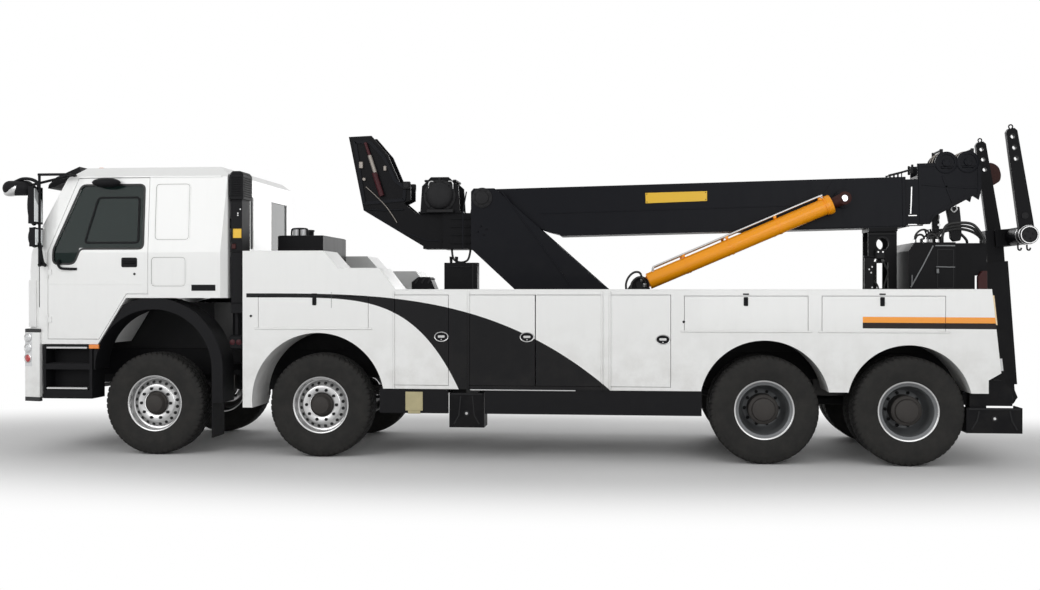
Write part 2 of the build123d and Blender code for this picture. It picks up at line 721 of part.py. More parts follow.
def on_cab(shape):
    """A piece trimmed to sit on the cab's outer skin."""
    return shape - cab_form(-SEAT)


def cab_front_trim():
    """The black grille with its bars, and the sun visor over the screen."""
    grille = on_cab(block(-760, 760, -1478, -1350, 1330, 1990))
    for low in (1390, 1490, 1590, 1690, 1790, 1890):
        grille -= block(-700, 700, -1490, -1460, low, low + 60)
    visor_half = CAB_HALF - 120
    visor = on_cab(side_prism(
        [(-840, 2985), (-1150, 2845), (-1215, 2835), (-1205, 2875), (-1120, 2955), (-860, 3065)],
        -visor_half, visor_half))
    return [grille, visor]


def front_bumper():
    """The bumper: a deep bar with turned-back ends and a lower lip."""
    low, top, corner_top = BUMPER_Z
    bar = bumper_wall(low, top)
    tower = bumper_wall(top, corner_top) - cab_form(-SEAT)
    between = HEAD_LAMP[0] - 25
    bar += tower - block(-between, between, BUMPER_S - 50, 0, top, corner_top + 10)
    for pocket in both(head_lamp_room(SEAT)):
        bar -= pocket
    for x in (-RAIL_OUT_X + 40, RAIL_OUT_X - 40):
        bar += block(x - 40, x + 40, BUMPER_S + BUMPER_T, RAIL_FRONT_S - SEAT, RAIL_Z0 + 20, RAIL_Z1 - 20)
    return bar


def bumper_wall(z0, z1):
    """The bumper's bent wall in plan, between two heights."""
    side, corner = BUMPER_HALF, BUMPER_HALF - 50
    side_in, corner_in = side - BUMPER_T, corner - BUMPER_T
    middle, swept = BUMPER_S, BUMPER_S + BUMPER_SWEEP
    outer = [
        (-side, BUMPER_BACK_S), (-corner, swept), (-CAB_NOSE_HALF, middle), (CAB_NOSE_HALF, middle),
        (corner, swept), (side, BUMPER_BACK_S),
    ]
    inner = [
        (-side_in, BUMPER_BACK_S + 30), (-corner_in, swept + BUMPER_T), (-CAB_NOSE_HALF, middle + BUMPER_T),
        (CAB_NOSE_HALF, middle + BUMPER_T), (corner_in, swept + BUMPER_T), (side_in, BUMPER_BACK_S + 30),
    ]
    return plan_prism(outer, z0, z1) - plan_prism(inner, z0 - 5, z1 + 5)


def head_lamp_room(grow):
    """The block round the bumper's left corner that its stacked lamps fill."""
    x0, z0, z1 = HEAD_LAMP
    return block(x0 - grow, BUMPER_HALF + 70, BUMPER_S - 50, HEAD_LAMP_S + grow, z0 - grow, z1 + grow)


def lamps():
    """Head lamps in the bumper and the tail lamps on the bodies' rear."""
    low, top, corner_top = BUMPER_Z
    head = (bumper_wall(low, corner_top) & head_lamp_room(0)) - cab_form(-SEAT)
    z0, z1 = TAIL_LAMP_Z
    near0, near1 = body_rear_s(z0) + SEAT, body_rear_s(z1) + SEAT
    tail = side_prism(
        [(near0, z0), (near0 + 40, z0), (near1 + 40, z1), (near1, z1)], BODY_HALF - 330, BODY_HALF - 60)
    return both(head) + both(tail)


def mirrors():
    """Main and wide mirrors on a bent arm at both front corners."""
    x = MIRROR_X
    s = MIRROR_S
    r = MIRROR_ARM_R
    arm = upright(r, x, s, 1990, 2975)
    root_s, root_z = MIRROR_ROOT
    arm += along(r, x, s - r, root_s + r, root_z)
    arm += across(r, CAB_HALF - 150, x + r, root_s, root_z)
    arm += across(r, CAB_HALF - 100, x + r, s, 2010)
    main = block(x - 80, x + 120, s - 60, s - 5, 2440, 2830)
    wide = block(x - 80, x + 100, s - 60, s - 5, 2200, 2400)
    return both(on_cab(arm + main + wide + down_mirror()))


def down_mirror():
    """The rounded look-down mirror on its own arm from the main mirror's bar."""
    x, s, z = DOWN_MIRROR
    reach = DOWN_MIRROR_LEN / 2 - DOWN_MIRROR_R
    head = along(DOWN_MIRROR_R, x, s - reach, s + reach, z)
    for end in (s - reach, s + reach):
        head += Pos(x, end, z) * Sphere(DOWN_MIRROR_R)
    return head + link(MIRROR_ARM_R, x, s, z, *MIRROR_ROOT)


def cab_step():
    """The step box under the door, open at two treads, on its rail bracket."""
    inner, outer = CAB_HALF - 300, CAB_HALF - 5
    step = block(inner, outer, -1210, -665, 590, 1160)
    step -= block(inner + 100, outer + 15, -1180, -695, 960, 1130)
    step -= block(inner + 100, outer + 15, -1180, -695, 680, 900)
    bracket = block(RAIL_OUT_X + SEAT, inner, -1000, -920, 860, 960)
    return step + bracket


def first_arch():
    """The arch over a first wheel with its rear leg, flap and rail bracket."""
    x0, x1 = GUARD_X
    outer_r = GUARD_R + GUARD_T
    ring_out = across(outer_r, x0, x1, 0, GUARD_Z)
    ring_in = across(GUARD_R, x0 - 10, x1 + 10, 0, GUARD_Z)
    arch = (ring_out - ring_in) & block(x0 - 10, x1 + 10, GUARD_FRONT_S, outer_r, GUARD_Z, CAB_ARCH_Z)
    arch += block(x0, x1, GUARD_R, outer_r, GUARD_LEG_Z, GUARD_Z)
    arch += block(x0, x1, GUARD_R, GUARD_R + 12, GUARD_FLAP_Z, GUARD_LEG_Z)
    arch += block(RAIL_OUT_X + SEAT, x0, GUARD_R, outer_r, 880, 940)
    return arch - cab_form(-GAP)


def skirt(s0, s1):
    """A dark skirt under the body's outer edge."""
    return block(BODY_HALF - 70, BODY_HALF - 10, s0, s1, 480, BODY_LOW_Z - SEAT)


def steps_and_guards():
    """Cab steps, the arch over each first wheel, and the skirts."""
    jack_s0, jack_s1 = FRONT_JACK[3:5]
    skirts = (skirt(STEP_LOW_END_S, jack_s0 - 2 * GAP), skirt(jack_s1 + 2 * GAP, AXLE_S[2] - 620))
    return [piece for shape in (cab_step(), first_arch(), *skirts) for piece in both(shape)]


def air_intake():
    """The intake stack behind the cab's left corner."""
    x = CAB_HALF - 200
    stack = block(x - 120, x + 120, CAB_REAR_S + 30, CAB_REAR_S + 150, 1500, 2960)
    head = block(x - 140, x + 140, CAB_REAR_S + 20, CAB_REAR_S + 170, 2700, 2960)
    foot = block(x - 70, x + 70, CAB_REAR_S + SEAT, CAB_REAR_S + 60, 2400, 2500)
    return stack + head + foot


# Locker bodies

def body_rear_s(z):
    """Station of the bodies' sloping rear wall at a height."""
    share = (z - BODY_LOW_Z) / (BODY_TOP_Z - BODY_LOW_Z)
    return BODY_REAR_LOW_S + share * (BODY_REAR_TOP_S - BODY_REAR_LOW_S)


def body_outline():
    """The side body's outer edge in side view."""
    notch_s, notch_z, rear_z = BODY_NOTCH
    return [
        (BODY_FRONT_S, BODY_FOOT_Z), (BODY_FRONT_S, STEP_TOP_Z), (STEP_END_S, STEP_TOP_Z),
        (STEP_END_S + 160, STEP_LOW_Z), (STEP_LOW_END_S, STEP_LOW_Z), (STEP_LOW_END_S + 170, BODY_TOP_Z),
        (BODY_REAR_TOP_S, BODY_TOP_Z), (body_rear_s(rear_z), rear_z), (notch_s, notch_z),
        (notch_s, BODY_LOW_Z), (BODY_FRONT_S + 150, BODY_LOW_Z), (BODY_FRONT_S + 150, BODY_FOOT_Z),
    ]


def locker_body():
    """One hollow side body with its arches, compartments and jack pockets."""
    body = side_prism(body_outline(), BODY_INNER_X, BODY_HALF)
    for s, radius in zip(AXLE_S[1:], ARCH_R):
        body -= across(radius, BODY_INNER_X - 10, BODY_HALF + 10, s, ARCH_Z)
    for name, s0, s1, z0, z1, edge in LEAVES:
        body -= block(BODY_INNER_X + WALL, BODY_HALF + 10, s0 - GAP, s1 + GAP, z0 - GAP, z1 + GAP)
    inner, outer = BODY_INNER_X + WALL, BODY_HALF - WALL
    body -= block(inner, outer, BODY_FRONT_S + WALL, STEP_END_S - WALL, 1720, STEP_TOP_Z - WALL)
    for s, half, x in (FRONT_JACK[:3], REAR_JACK[:3]):
        room = half + SEAT
        body -= block(x - room, x + room, s - room, s + room, 400, JACK_TOP_Z + SEAT)
    for leaf in LEAVES:
        for lug in leaf_lugs(leaf):
            body += lug
    return body


def leaf_hinge_line(leaf):
    """The hinge's two end points as (station, height) on the body's face."""
    name, s0, s1, z0, z1, edge = leaf
    if edge == "low":
        return (s0, z0), (s1, z0)
    if edge == "front":
        return (s0, z0), (s0, z1)
    return (s1, z0), (s1, z1)


def hinge_bar(start, end, skip):
    """A round bar along a hinge line, shortened by skip at both ends."""
    if start[1] == end[1]:
        return along(HINGE_R, HINGE_X, start[0] + skip, end[0] - skip, start[1])
    return upright(HINGE_R, HINGE_X, start[0], start[1] + skip, end[1] - skip)


def leaf_lugs(leaf):
    """The body's two hinge lugs at the ends of one leaf's hinge."""
    start, end = leaf_hinge_line(leaf)
    lugs = []
    for point, step in ((start, 1), (end, -1)):
        if start[1] == end[1]:
            s0 = point[0] - 40 * step
            s1 = point[0] - 0.5 * step
            bar = along(HINGE_R, HINGE_X, min(s0, s1), max(s0, s1), point[1])
            foot = block(BODY_HALF - 5, HINGE_X, min(s0, s1), max(s0, s1), point[1] - HINGE_R, point[1])
        else:
            z0 = point[1] - 40 * step
            z1 = point[1] - 0.5 * step
            bar = upright(HINGE_R, HINGE_X, point[0], min(z0, z1), max(z0, z1))
            foot = block(
                BODY_HALF - 5, HINGE_X, point[0] - HINGE_R, point[0], min(z0, z1), max(z0, z1))
        lugs.append(bar + foot)
    return lugs


def locker_leaf(leaf, sign):
    """One leaf with its hinge bar."""
    name, s0, s1, z0, z1, edge = leaf
    panel = block(BODY_HALF - LEAF_T, BODY_HALF, s0, s1, z0, z1)
    start, end = leaf_hinge_line(leaf)
    bar = hinge_bar(start, end, 0)
    if edge == "low":
        strap = block(BODY_HALF - 5, HINGE_X, s0, s1, z0, z0 + HINGE_R)
    elif edge == "front":
        strap = block(BODY_HALF - 5, HINGE_X, s0, s0 + HINGE_R, z0, z1)
    else:
        strap = block(BODY_HALF - 5, HINGE_X, s1 - HINGE_R, s1, z0, z1)
    return on_side(panel + strap + bar, sign)


# Deck, column and winch

def deck():
    """The deck plate on its beams, the rear wall and the boom rest."""
    edge = BODY_INNER_X - SEAT
    plate = block(-edge, edge, BODY_FRONT_S + 20, RAIL_REAR_S, DECK_Z - DECK_T, DECK_Z)
    for sign in (-1, 1):
        x = sign * (RAIL_OUT_X - 45)
        plate += block(x - 35, x + 35, BODY_FRONT_S + 250, RAIL_REAR_S, RAIL_Z1 + SEAT, DECK_Z - DECK_T)
    for s in (1300, 3200, 5000, 8200):
        plate += block(-edge, edge, s - 30, s + 30, RAIL_Z1 + 250, DECK_Z - DECK_T)
    return plate + boom_rest() + tail_housing()


def tail_housing():
    """The closed valve housing on the deck's end, its front edge bevelled."""
    x = TAIL_HOUSING_HALF
    s0, s1, top = TAIL_HOUSING
    return side_prism([(s0, DECK_Z), (s0, top - 90), (s0 + 60, top), (s1, top), (s1, DECK_Z)], -x, x)


def boom_rest():
    """Two pierced posts and a saddle under the parked boom."""
    under0 = boom_world(REST_S0 - PIVOT_S, BOOM_LOW)[1] - SEAT
    under1 = boom_world(REST_S1 - PIVOT_S, BOOM_LOW)[1] - SEAT
    rest = side_prism(
        [(REST_S0, under0 - 40), (REST_S1, under1 - 40), (REST_S1, under1), (REST_S0, under0)], -200, 200)
    for x in (-162, 138):
        post = side_prism(
            [(REST_S0, DECK_Z), (REST_S1, DECK_Z), (REST_S1, under1 - 20), (REST_S0, under0 - 20)],
            x, x + 24)
        post -= block(x - 5, x + 30, REST_S0 + 90, REST_S1 - 90, DECK_Z + 60, DECK_Z + 340)
        post -= across(65, x - 5, x + 30, (REST_S0 + REST_S1) / 2, DECK_Z + 540)
        rest += post
    return rest


def boom_column():
    """Two side plates with pivot bosses, joined by cross plates."""
    points = [
        (3800, DECK_Z + SEAT), (3260, 2200), (3260, 2830), (3290, 2865), (3520, 2865),
        (3560, 2830), (4830, DECK_Z + SEAT),
    ]
    column = None
    for sign in (-1, 1):
        x0 = COLUMN_X if sign > 0 else -COLUMN_X - COLUMN_T
        plate = side_prism(points, x0, x0 + COLUMN_T)
        column = plate if column is None else column + plate
    front = [(3800, DECK_Z + SEAT), (3260, 2200), (3260, 2240), (3840, DECK_Z + SEAT)]
    column += side_prism(front, -COLUMN_X, COLUMN_X)
    column += block(-COLUMN_X, COLUMN_X, 3260, 3285, 2200, 2600)
    column += block(-COLUMN_X, COLUMN_X, 3900, 4780, DECK_Z + SEAT, DECK_Z + 30)
    column -= across(PIVOT_R + PIN_PLAY, -400, 400, PIVOT_S, PIVOT_Z)
    return column


def cranked_plate(x0):
    points = [
        (2750, 2205), (2020, 2640), (1850, 3470), (2110, 3480), (2300, 3260), (2430, 2960),
        (2560, 2900), (2560, 2760), (2480, 2720), (2620, 2600), (2930, 2600), (2930, 2205),
    ]
    return side_prism(points, x0, x0 + 20)


def winch_frame():
    """The ribbed base on the column, the cranked arm and the drum."""
    base = block(-200, 200, 2930, 3260 - SEAT, 2200, 2600)
    for low in (2260, 2350, 2440, 2530):
        base += block(-215, 215, 3020, 3240, low, low + 16)
    arm = cranked_plate(-150) + cranked_plate(130)
    arm += block(-150, 150, 2700, 2930, 2205, 2600)
    arm += block(-150, 150, 1860, 2080, 3430, 3466)
    frame = base + arm
    for x in (-WINCH_HALF - 30, WINCH_HALF + 10):
        cheek = side_prism(
            [(2680, 2600), (3130, 2600), (3110, 2900), (3000, 3000), (2800, 3000), (2700, 2900)],
            x, x + 20)
        frame += cheek
    frame += block(-WINCH_HALF - 30, WINCH_HALF + 30, 2660, 3160, 2600, 2618)
    drum = across(DRUM_R, -WINCH_HALF, WINCH_HALF, WINCH_S, WINCH_Z)
    for x in (-WINCH_HALF + 8, WINCH_HALF - 24):
        drum += across(165, x, x + 16, WINCH_S, WINCH_Z)
    drum += across(25, -WINCH_HALF - 9.7, WINCH_HALF + 9.7, WINCH_S, WINCH_Z)
    return [frame, drum]


def oil_tank():
    """The oil tank behind the cab with its filler, and the valve box."""
    seat_z = DECK_Z + SEAT
    tank = block(-500, 500, 1140, 1650, seat_z, TANK_TOP_Z)
    tank += upright(60, 200, 1400, TANK_TOP_Z, TANK_TOP_Z + 60)
    valves = block(COLUMN_X + COLUMN_T + GAP, 450, 2990, 3354, seat_z, 2042)
    stack = side_prism([(2650, seat_z), (2650, 1830), (2720, 1885), (2850, 1885), (2930, seat_z)], 330, 560)
    return [tank, valves, stack]


# Boom

def boom_place(shape):
    """Puts a piece drawn level, with the pivot as its zero, at its real place."""
    return Pos(0, PIVOT_S, PIVOT_Z) * Rot(BOOM_TILT, 0, 0) * shape


def boom():
    """The outer boom section, a box with a tapered foot and its pivot pin."""
    foot = [
        (0, BOOM_TOP), (900, BOOM_TOP), (900, BOOM_LOW), (700, -380), (-60, -80), (-95, 60),
    ]
    tube = block(-BOOM_HALF, BOOM_HALF, 850, BOOM_MOUTH, BOOM_LOW, BOOM_TOP)
    tube += side_prism(foot, -BOOM_HALF, BOOM_HALF)
    inner = BOOM_HALF - BOOM_WALL
    tube -= block(-inner, inner, 900, BOOM_MOUTH + 10, BOOM_LOW + BOOM_WALL, BOOM_TOP - BOOM_WALL)
    for x0, x1, z0, z1 in stage_pads():
        tube += block(x0, x1, BOOM_MOUTH - 160, BOOM_MOUTH, z0, z1)
    tube += across(PIVOT_R, -COLUMN_X - COLUMN_T, COLUMN_X + COLUMN_T, 0, 0)
    for sign in (-1, 1):
        x0 = sign * BOOM_HALF
        x1 = sign * (LIFT_X - 55 - SEAT)
        tube += across(LIFT_BOSS_R, min(x0, x1), max(x0, x1), *boom_local(LIFT_EYE_S, LIFT_EYE_Z))
    return boom_place(tube)


def boom_world(ds, dz):
    """Station and height of a point given along and above the boom's line."""
    tilt = math.radians(BOOM_TILT)
    return (
        PIVOT_S + ds * math.cos(tilt) - dz * math.sin(tilt),
        PIVOT_Z + ds * math.sin(tilt) + dz * math.cos(tilt))


def boom_local(s, z):
    """A point's distance along and above the boom's own line."""
    tilt = math.radians(BOOM_TILT)
    ds = s - PIVOT_S
    dz = z - PIVOT_Z
    return (ds * math.cos(tilt) + dz * math.sin(tilt), -ds * math.sin(tilt) + dz * math.cos(tilt))


def stage_pads():
    """Wear pads at the mouth, one on each wall: x from, x to, z from, z to."""
    inner = BOOM_HALF - BOOM_WALL
    depth = STAGE_GAP - SEAT
    low = BOOM_LOW + BOOM_WALL
    top = BOOM_TOP - BOOM_WALL
    return (
        (-120, 120, low, low + depth), (-120, 120, top - depth, top),
        (inner - depth, inner, -250, -50), (-inner, -inner + depth, -250, -50),
    )


def boom_stage():
    """The sliding section with the sheave head at its end."""
    half = BOOM_HALF - BOOM_WALL - STAGE_GAP
    low = BOOM_LOW + BOOM_WALL + STAGE_GAP
    top = BOOM_TOP - BOOM_WALL - STAGE_GAP
    end = BOOM_MOUTH + STAGE_REST_OUT
    tube = block(-half, half, 1100, end, low, top)
    tube -= block(
        -half + STAGE_WALL, half - STAGE_WALL, 1090, end + 10, low + STAGE_WALL, top - STAGE_WALL)
    tip = end + HEAD_LEN
    sheaves = (tip - SHEAVE_R - 27 - SHEAVE_STEP, tip - SHEAVE_R - 27)
    cheek = [
        (end - 60, low), (end - 60, SHEAVE_UP), (tip - 40, SHEAVE_UP), (tip, 190), (tip, -50),
        (tip - 30, -165), (tip - 90, -125), (end + 260, -255), (end + 110, low + 80), (end + 60, low),
    ]
    for x in (-half, half - HEAD_CHEEK_T):
        tube += side_prism(cheek, x, x + HEAD_CHEEK_T)
        for s in sheaves:
            tube += across(SHEAVE_R + 10, x, x + HEAD_CHEEK_T, s, SHEAVE_UP)
    tube += block(-half, half, end - 60, end, low, top + 40)
    for s in sheaves:
        for x in (-95, 25):
            tube += across(SHEAVE_R, x, x + 70, s, SHEAVE_UP)
        tube += across(SHEAVE_PIN_R, -half - 10, half + 10, s, SHEAVE_UP)
    return boom_place(tube)


# Lift cylinders

def lift_line():
    """Length and slope of the line from the base pin to the rod's eye."""
    ds = LIFT_EYE_S - LIFT_BASE_S
    dz = LIFT_EYE_Z - LIFT_BASE_Z
    return math.hypot(ds, dz), math.degrees(math.atan2(dz, ds))


def lift_place(shape):
    """Puts a piece drawn along +Y from the base pin at its real place."""
    length, slope = lift_line()
    return Pos(0, LIFT_BASE_S, LIFT_BASE_Z) * Rot(slope, 0, 0) * shape


def lift_barrel():
    """One barrel: tube, gland, and the base eye on its pin."""
    tube = along(BARREL_R, LIFT_X, BARREL_FOOT, BARREL_LEN, 0)
    tube += along(BARREL_R + 10, LIFT_X, BARREL_LEN - 70, BARREL_LEN, 0)
    tube -= along(ROD_R + SEAT, LIFT_X, ROD_FOOT - 20, BARREL_LEN + 10, 0)
    tube += across(70, LIFT_X - 35, LIFT_X + 35, 0, 0)
    tube += block(LIFT_X - 35, LIFT_X + 35, 0, BARREL_FOOT + 10, -60, 60)
    tube += across(LIFT_PIN_R, LIFT_X - 70, LIFT_X + 70, 0, 0)
    return lift_place(tube)


def lift_barrels():
    return both(lift_barrel())


def lift_rods():
    """The rods with their eyes, outboard of the bosses on the boom."""
    length, slope = lift_line()
    rod = along(ROD_R, LIFT_X, ROD_FOOT, length - 60, 0)
    rod += across(ROD_EYE_R, LIFT_X - 55, LIFT_X + 45, length, 0)
    return both(lift_place(rod))


def lift_brackets():
    """The deck brackets that hold the barrels' base pins."""
    brackets = None
    for sign in (-1, 1):
        for x0, x1 in ((LIFT_X - 70, LIFT_X - 40), (LIFT_X + 40, LIFT_X + 70)):
            low = DECK_Z
            near, far = min(sign * x0, sign * x1), max(sign * x0, sign * x1)
            points = [
                (LIFT_BASE_S - 180, low), (LIFT_BASE_S - LIFT_BOSS_R, LIFT_BASE_Z + 20),
                (LIFT_BASE_S + LIFT_BOSS_R, LIFT_BASE_Z - 20), (LIFT_BASE_S + 130, low),
            ]
            ear = side_prism(points, near, far) + across(LIFT_BOSS_R, near, far, LIFT_BASE_S, LIFT_BASE_Z)
            brackets = ear if brackets is None else brackets + ear
    brackets -= across(LIFT_PIN_R + PIN_PLAY, -500, 500, LIFT_BASE_S, LIFT_BASE_Z)
    return brackets


def deck_with_brackets():
    return deck() + lift_brackets()


# Underlift

def arm_place(shape):
    """Puts a piece drawn upright from the fold pin at its leaning place."""
    return Pos(0, FOLD_S, FOLD_Z) * Rot(ARM_LEAN, 0, 0) * shape


def underlift_mast():
    """Two guide channels on the frame's end with the housing on top."""
    mast = None
    for sign in (-1, 1):
        outer = block(sign * MAST_X, sign * (MAST_X + 90), 8400, 8640, 740, 2240)
        slot = block(sign * (MAST_X - 5), sign * (MAST_X + 60), 8440, 8600, 730, 2200)
        side = outer - slot
        mast = side if mast is None else mast + side
    mast += block(-MAST_X - 90, MAST_X + 90, RAIL_REAR_S + SEAT, 8410, 780, 2240)
    mast += block(-MAST_X - 90, MAST_X + 90, RAIL_REAR_S + SEAT, 8640, 2205, 2240)
    mast += block(-MAST_X - 90, MAST_X + 90, 8640, 8760, 1900, 2240)
    return mast


def underlift_carriage():
    """The block that climbs in the channels, with ears for the folding arm."""
    lugs = None
    for sign in (-1, 1):
        shoe = block(sign * 150, sign * (MAST_X + 60 - SEAT), 8440 + SEAT, 8600 - SEAT, 900, 1650)
        lugs = shoe if lugs is None else lugs + shoe
    lugs += block(-170, 170, 8420, 8620, 900, 1650)
    for sign in (-1, 1):
        x0 = sign * (ARM_HALF + GAP)
        x1 = sign * (ARM_HALF + GAP + 30)
        points = [
            (8620, 900), (8600, 1400), (8700, 1400), (FOLD_S + 60, FOLD_Z + 100), (FOLD_S + 100, FOLD_Z),
            (FOLD_S + 40, FOLD_Z - 80), (FOLD_S - 100, FOLD_Z - 80),
        ]
        lugs += side_prism(points, min(x0, x1), max(x0, x1))
    lugs -= across(45 + PIN_PLAY, -300, 300, FOLD_S, FOLD_Z)
    return lugs


def underlift_arm():
    """The folding sleeve on its fold pin."""
    sleeve = block(-ARM_HALF, ARM_HALF, -ARM_HALF, ARM_HALF, 130, ARM_LEN)
    inner = ARM_HALF - ARM_WALL
    sleeve -= block(-inner, inner, -inner, inner, 160, ARM_LEN + 10)
    for x0, x1, y0, y1 in arm_pads():
        sleeve += block(x0, x1, y0, y1, ARM_LEN - 120, ARM_LEN)
    sleeve += across(95, -ARM_HALF, ARM_HALF, 0, 0)
    sleeve += block(-ARM_HALF, ARM_HALF, -85, 85, 0, 150)
    sleeve += across(45, -ARM_HALF - GAP - 30, ARM_HALF + GAP + 30, 0, 0)
    return arm_place(sleeve)


def arm_pads():
    """Wear pads in the sleeve's mouth: x from, x to, y from, y to."""
    inner = ARM_HALF - ARM_WALL
    face = INNER_HALF + SEAT
    return (
        (-50, 50, face, inner), (-50, 50, -inner, -face),
        (face, inner, -50, 50), (-inner, -face, -50, 50),
    )


def underlift_crossbar():
    """The inner arm with the crossbar, and the two pierced fork bars seated on it."""
    beam = block(-INNER_HALF, INNER_HALF, -INNER_HALF, INNER_HALF, 300, CROSSBAR_ALONG + 90)
    beam += block(-130, 130, 0, CROSSBAR_BACK, CROSSBAR_ALONG - 90, CROSSBAR_ALONG + 90)
    beam += across(CROSSBAR_R, -CROSSBAR_HALF, CROSSBAR_HALF, CROSSBAR_BACK, CROSSBAR_ALONG)
    forks = [
        Pos(0, CROSSBAR_BACK, CROSSBAR_ALONG) * Rot(FORK_LEAN, 0, 0) * fork_bar(sign * FORK_X - FORK_T / 2)
        for sign in (-1, 1)
    ]
    return [arm_place(piece) for piece in (beam, *forks)]


def fork_bar(x0):
    """A tapered fork bar drawn upright from the crossbar's line, pierced at its top."""
    low, top, end = FORK_W / 2, FORK_TOP_W / 2, FORK_LEN
    points = [
        (-low, 0), (-low, 150), (-top, end - 30), (-top + 25, end), (top - 25, end), (top, end - 30),
        (low, 150), (low, 0),
    ]
    fork = side_prism(points, x0, x0 + FORK_T) - across(CROSSBAR_R + SEAT, x0 - 10, x0 + FORK_T + 10, 0, 0)
    for step in range(FORK_HOLE_COUNT):
        fork -= across(FORK_HOLE_R, x0 - 10, x0 + FORK_T + 10, 0, end - FORK_HOLE_DOWN - FORK_HOLE_STEP * step)
    return fork


def main():
    os.makedirs("parts", exist_ok=True)
    write_part("chassis_frame", chassis_frame())
    write_part("axles", axles())
    write_part("leaf_springs", leaf_springs())
    write_part("powertrain", powertrain())
    write_part("cab_shell", cab_shell())
    write_part("cab_glass", cab_glass())
    write_part("cab_interior", cab_interior())
    write_part("cab_front_trim", cab_front_trim())
    write_part("front_bumper", front_bumper())
    write_part("lamps", lamps())
    write_part("mirrors", mirrors())
    write_part("steps_and_guards", steps_and_guards())
    write_part("air_intake", air_intake())
    write_part("locker_bodies", both(locker_body()))
    write_part("deck", deck_with_brackets())
    write_part("boom_column", boom_column())
    write_part("winch_frame", winch_frame())
    write_part("oil_tank", oil_tank())
    write_part("underlift_mast", underlift_mast())
    write_part("boom", boom())
    write_part("boom_stage", boom_stage())
    write_part("lift_barrels", lift_barrels())
    write_part("lift_rods", lift_rods())
    write_part("underlift_carriage", underlift_carriage())
    write_part("underlift_arm", underlift_arm())
    write_part("underlift_crossbar", underlift_crossbar())
    for side, sign in SIDES:
        for axle in (0, 1):
            write_part(f"knuckle_{axle + 1}_{side}", knuckle(axle, sign))
            write_part(f"wheel_{axle + 1}_{side}", front_wheel(axle, sign))
        for axle in (2, 3):
            write_part(f"wheel_{axle + 1}_{side}", twin_wheel(axle, sign))
        write_part(f"cab_door_{side}", cab_door(sign))
        write_part(f"cab_door_glass_{side}", cab_door_glass(sign))
        write_part(f"front_jack_{side}", jack_leg(FRONT_JACK, sign))
        write_part(f"rear_jack_{side}", jack_leg(REAR_JACK, sign))
        for leaf in LEAVES:
            write_part(f"locker_door_{leaf[0]}_{side}", locker_leaf(leaf, sign))


if __name__ == "__main__":
    main()
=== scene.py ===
# %% [markdown]
# # A heavy tow truck, dressed for its picture
# The solid model of the truck is already built to size: frame, cab, lockers, boom and underlift.
# This script loads it as a fixed frame, gives every surface its real finish, and adds the things
# that are too fine for the solids: tyre tread, wheel nuts, latches, hoses, cables and lamps.

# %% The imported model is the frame
import bmesh
import bpy
import json
import math
import numpy as np
from mathutils import Matrix, Vector


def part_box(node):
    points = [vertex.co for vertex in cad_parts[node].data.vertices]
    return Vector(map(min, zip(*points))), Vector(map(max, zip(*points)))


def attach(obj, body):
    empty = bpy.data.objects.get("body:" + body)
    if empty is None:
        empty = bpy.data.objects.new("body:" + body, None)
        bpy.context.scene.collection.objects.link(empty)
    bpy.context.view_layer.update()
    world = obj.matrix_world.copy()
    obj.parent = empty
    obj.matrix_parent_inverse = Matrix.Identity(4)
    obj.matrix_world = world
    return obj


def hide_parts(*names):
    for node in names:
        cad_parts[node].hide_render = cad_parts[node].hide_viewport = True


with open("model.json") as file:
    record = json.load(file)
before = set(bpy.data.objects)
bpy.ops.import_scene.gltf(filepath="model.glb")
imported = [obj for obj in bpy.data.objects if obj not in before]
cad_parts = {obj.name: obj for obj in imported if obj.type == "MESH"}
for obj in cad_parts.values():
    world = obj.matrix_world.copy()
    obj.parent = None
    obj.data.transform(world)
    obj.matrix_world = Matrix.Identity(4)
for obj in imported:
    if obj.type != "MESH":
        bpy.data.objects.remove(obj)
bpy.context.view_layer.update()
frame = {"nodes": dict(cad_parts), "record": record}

# %% [markdown]
# Places along the truck are counted from the first axle, as on a drawing of a chassis. The frame's
# own zero is under the middle of the vehicle, so one number turns a station into a Y.

# %% Stations along the truck


def middle_of(node):
    """The centre of a solid's box."""
    low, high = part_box(node)
    return (np.array(low) + np.array(high)) / 2


AXLE_Y = [float(middle_of(f"wheel_{n}_left")[1]) for n in (1, 2, 3, 4)]
HUB_Z = float(middle_of("wheel_1_left")[2])


def along(station):
    """The Y of a station in metres behind the first axle."""
    return AXLE_Y[0] + station


def at(x, station, z):
    """A point in space from its X, its station and its height."""
    return (x, along(station), z)


print("axles at", [round(y, 3) for y in AXLE_Y], "hub height", HUB_Z)

# %% [markdown]
# ## The camera
# The photograph looks squarely at the truck's left side from about twelve metres, from a standing
# eye's height, a little behind the middle and turned a few degrees towards the front. The picture
# itself is squeezed sideways, which the round wheels show; the truck here has its real proportions.

# %% Camera at the photograph's viewing angle
PICTURE_W = 1040
FOCAL_PX = 1162.0
SENSOR_MM = 36.0
YAW = 0.1024
PITCH = -0.0032


def facing(place, direction):
    """The placement of a camera or a lamp that looks along a direction."""
    turn = Vector(direction).to_track_quat("-Z", "Y")
    return Matrix.Translation(place) @ turn.to_matrix().to_4x4()


camera_data = bpy.data.cameras.new("camera")
camera_data.sensor_width = SENSOR_MM
camera_data.lens = SENSOR_MM * FOCAL_PX / PICTURE_W
camera = bpy.data.objects.new("camera", camera_data)
bpy.context.scene.collection.objects.link(camera)
camera_place = at(12.99, 5.11, 1.73)
camera.matrix_world = facing(camera_place, (-math.cos(YAW), -math.sin(YAW), math.sin(PITCH)))
bpy.context.scene.camera = camera
print("camera", [round(v, 2) for v in camera_place], "lens", round(camera_data.lens, 1), "mm")

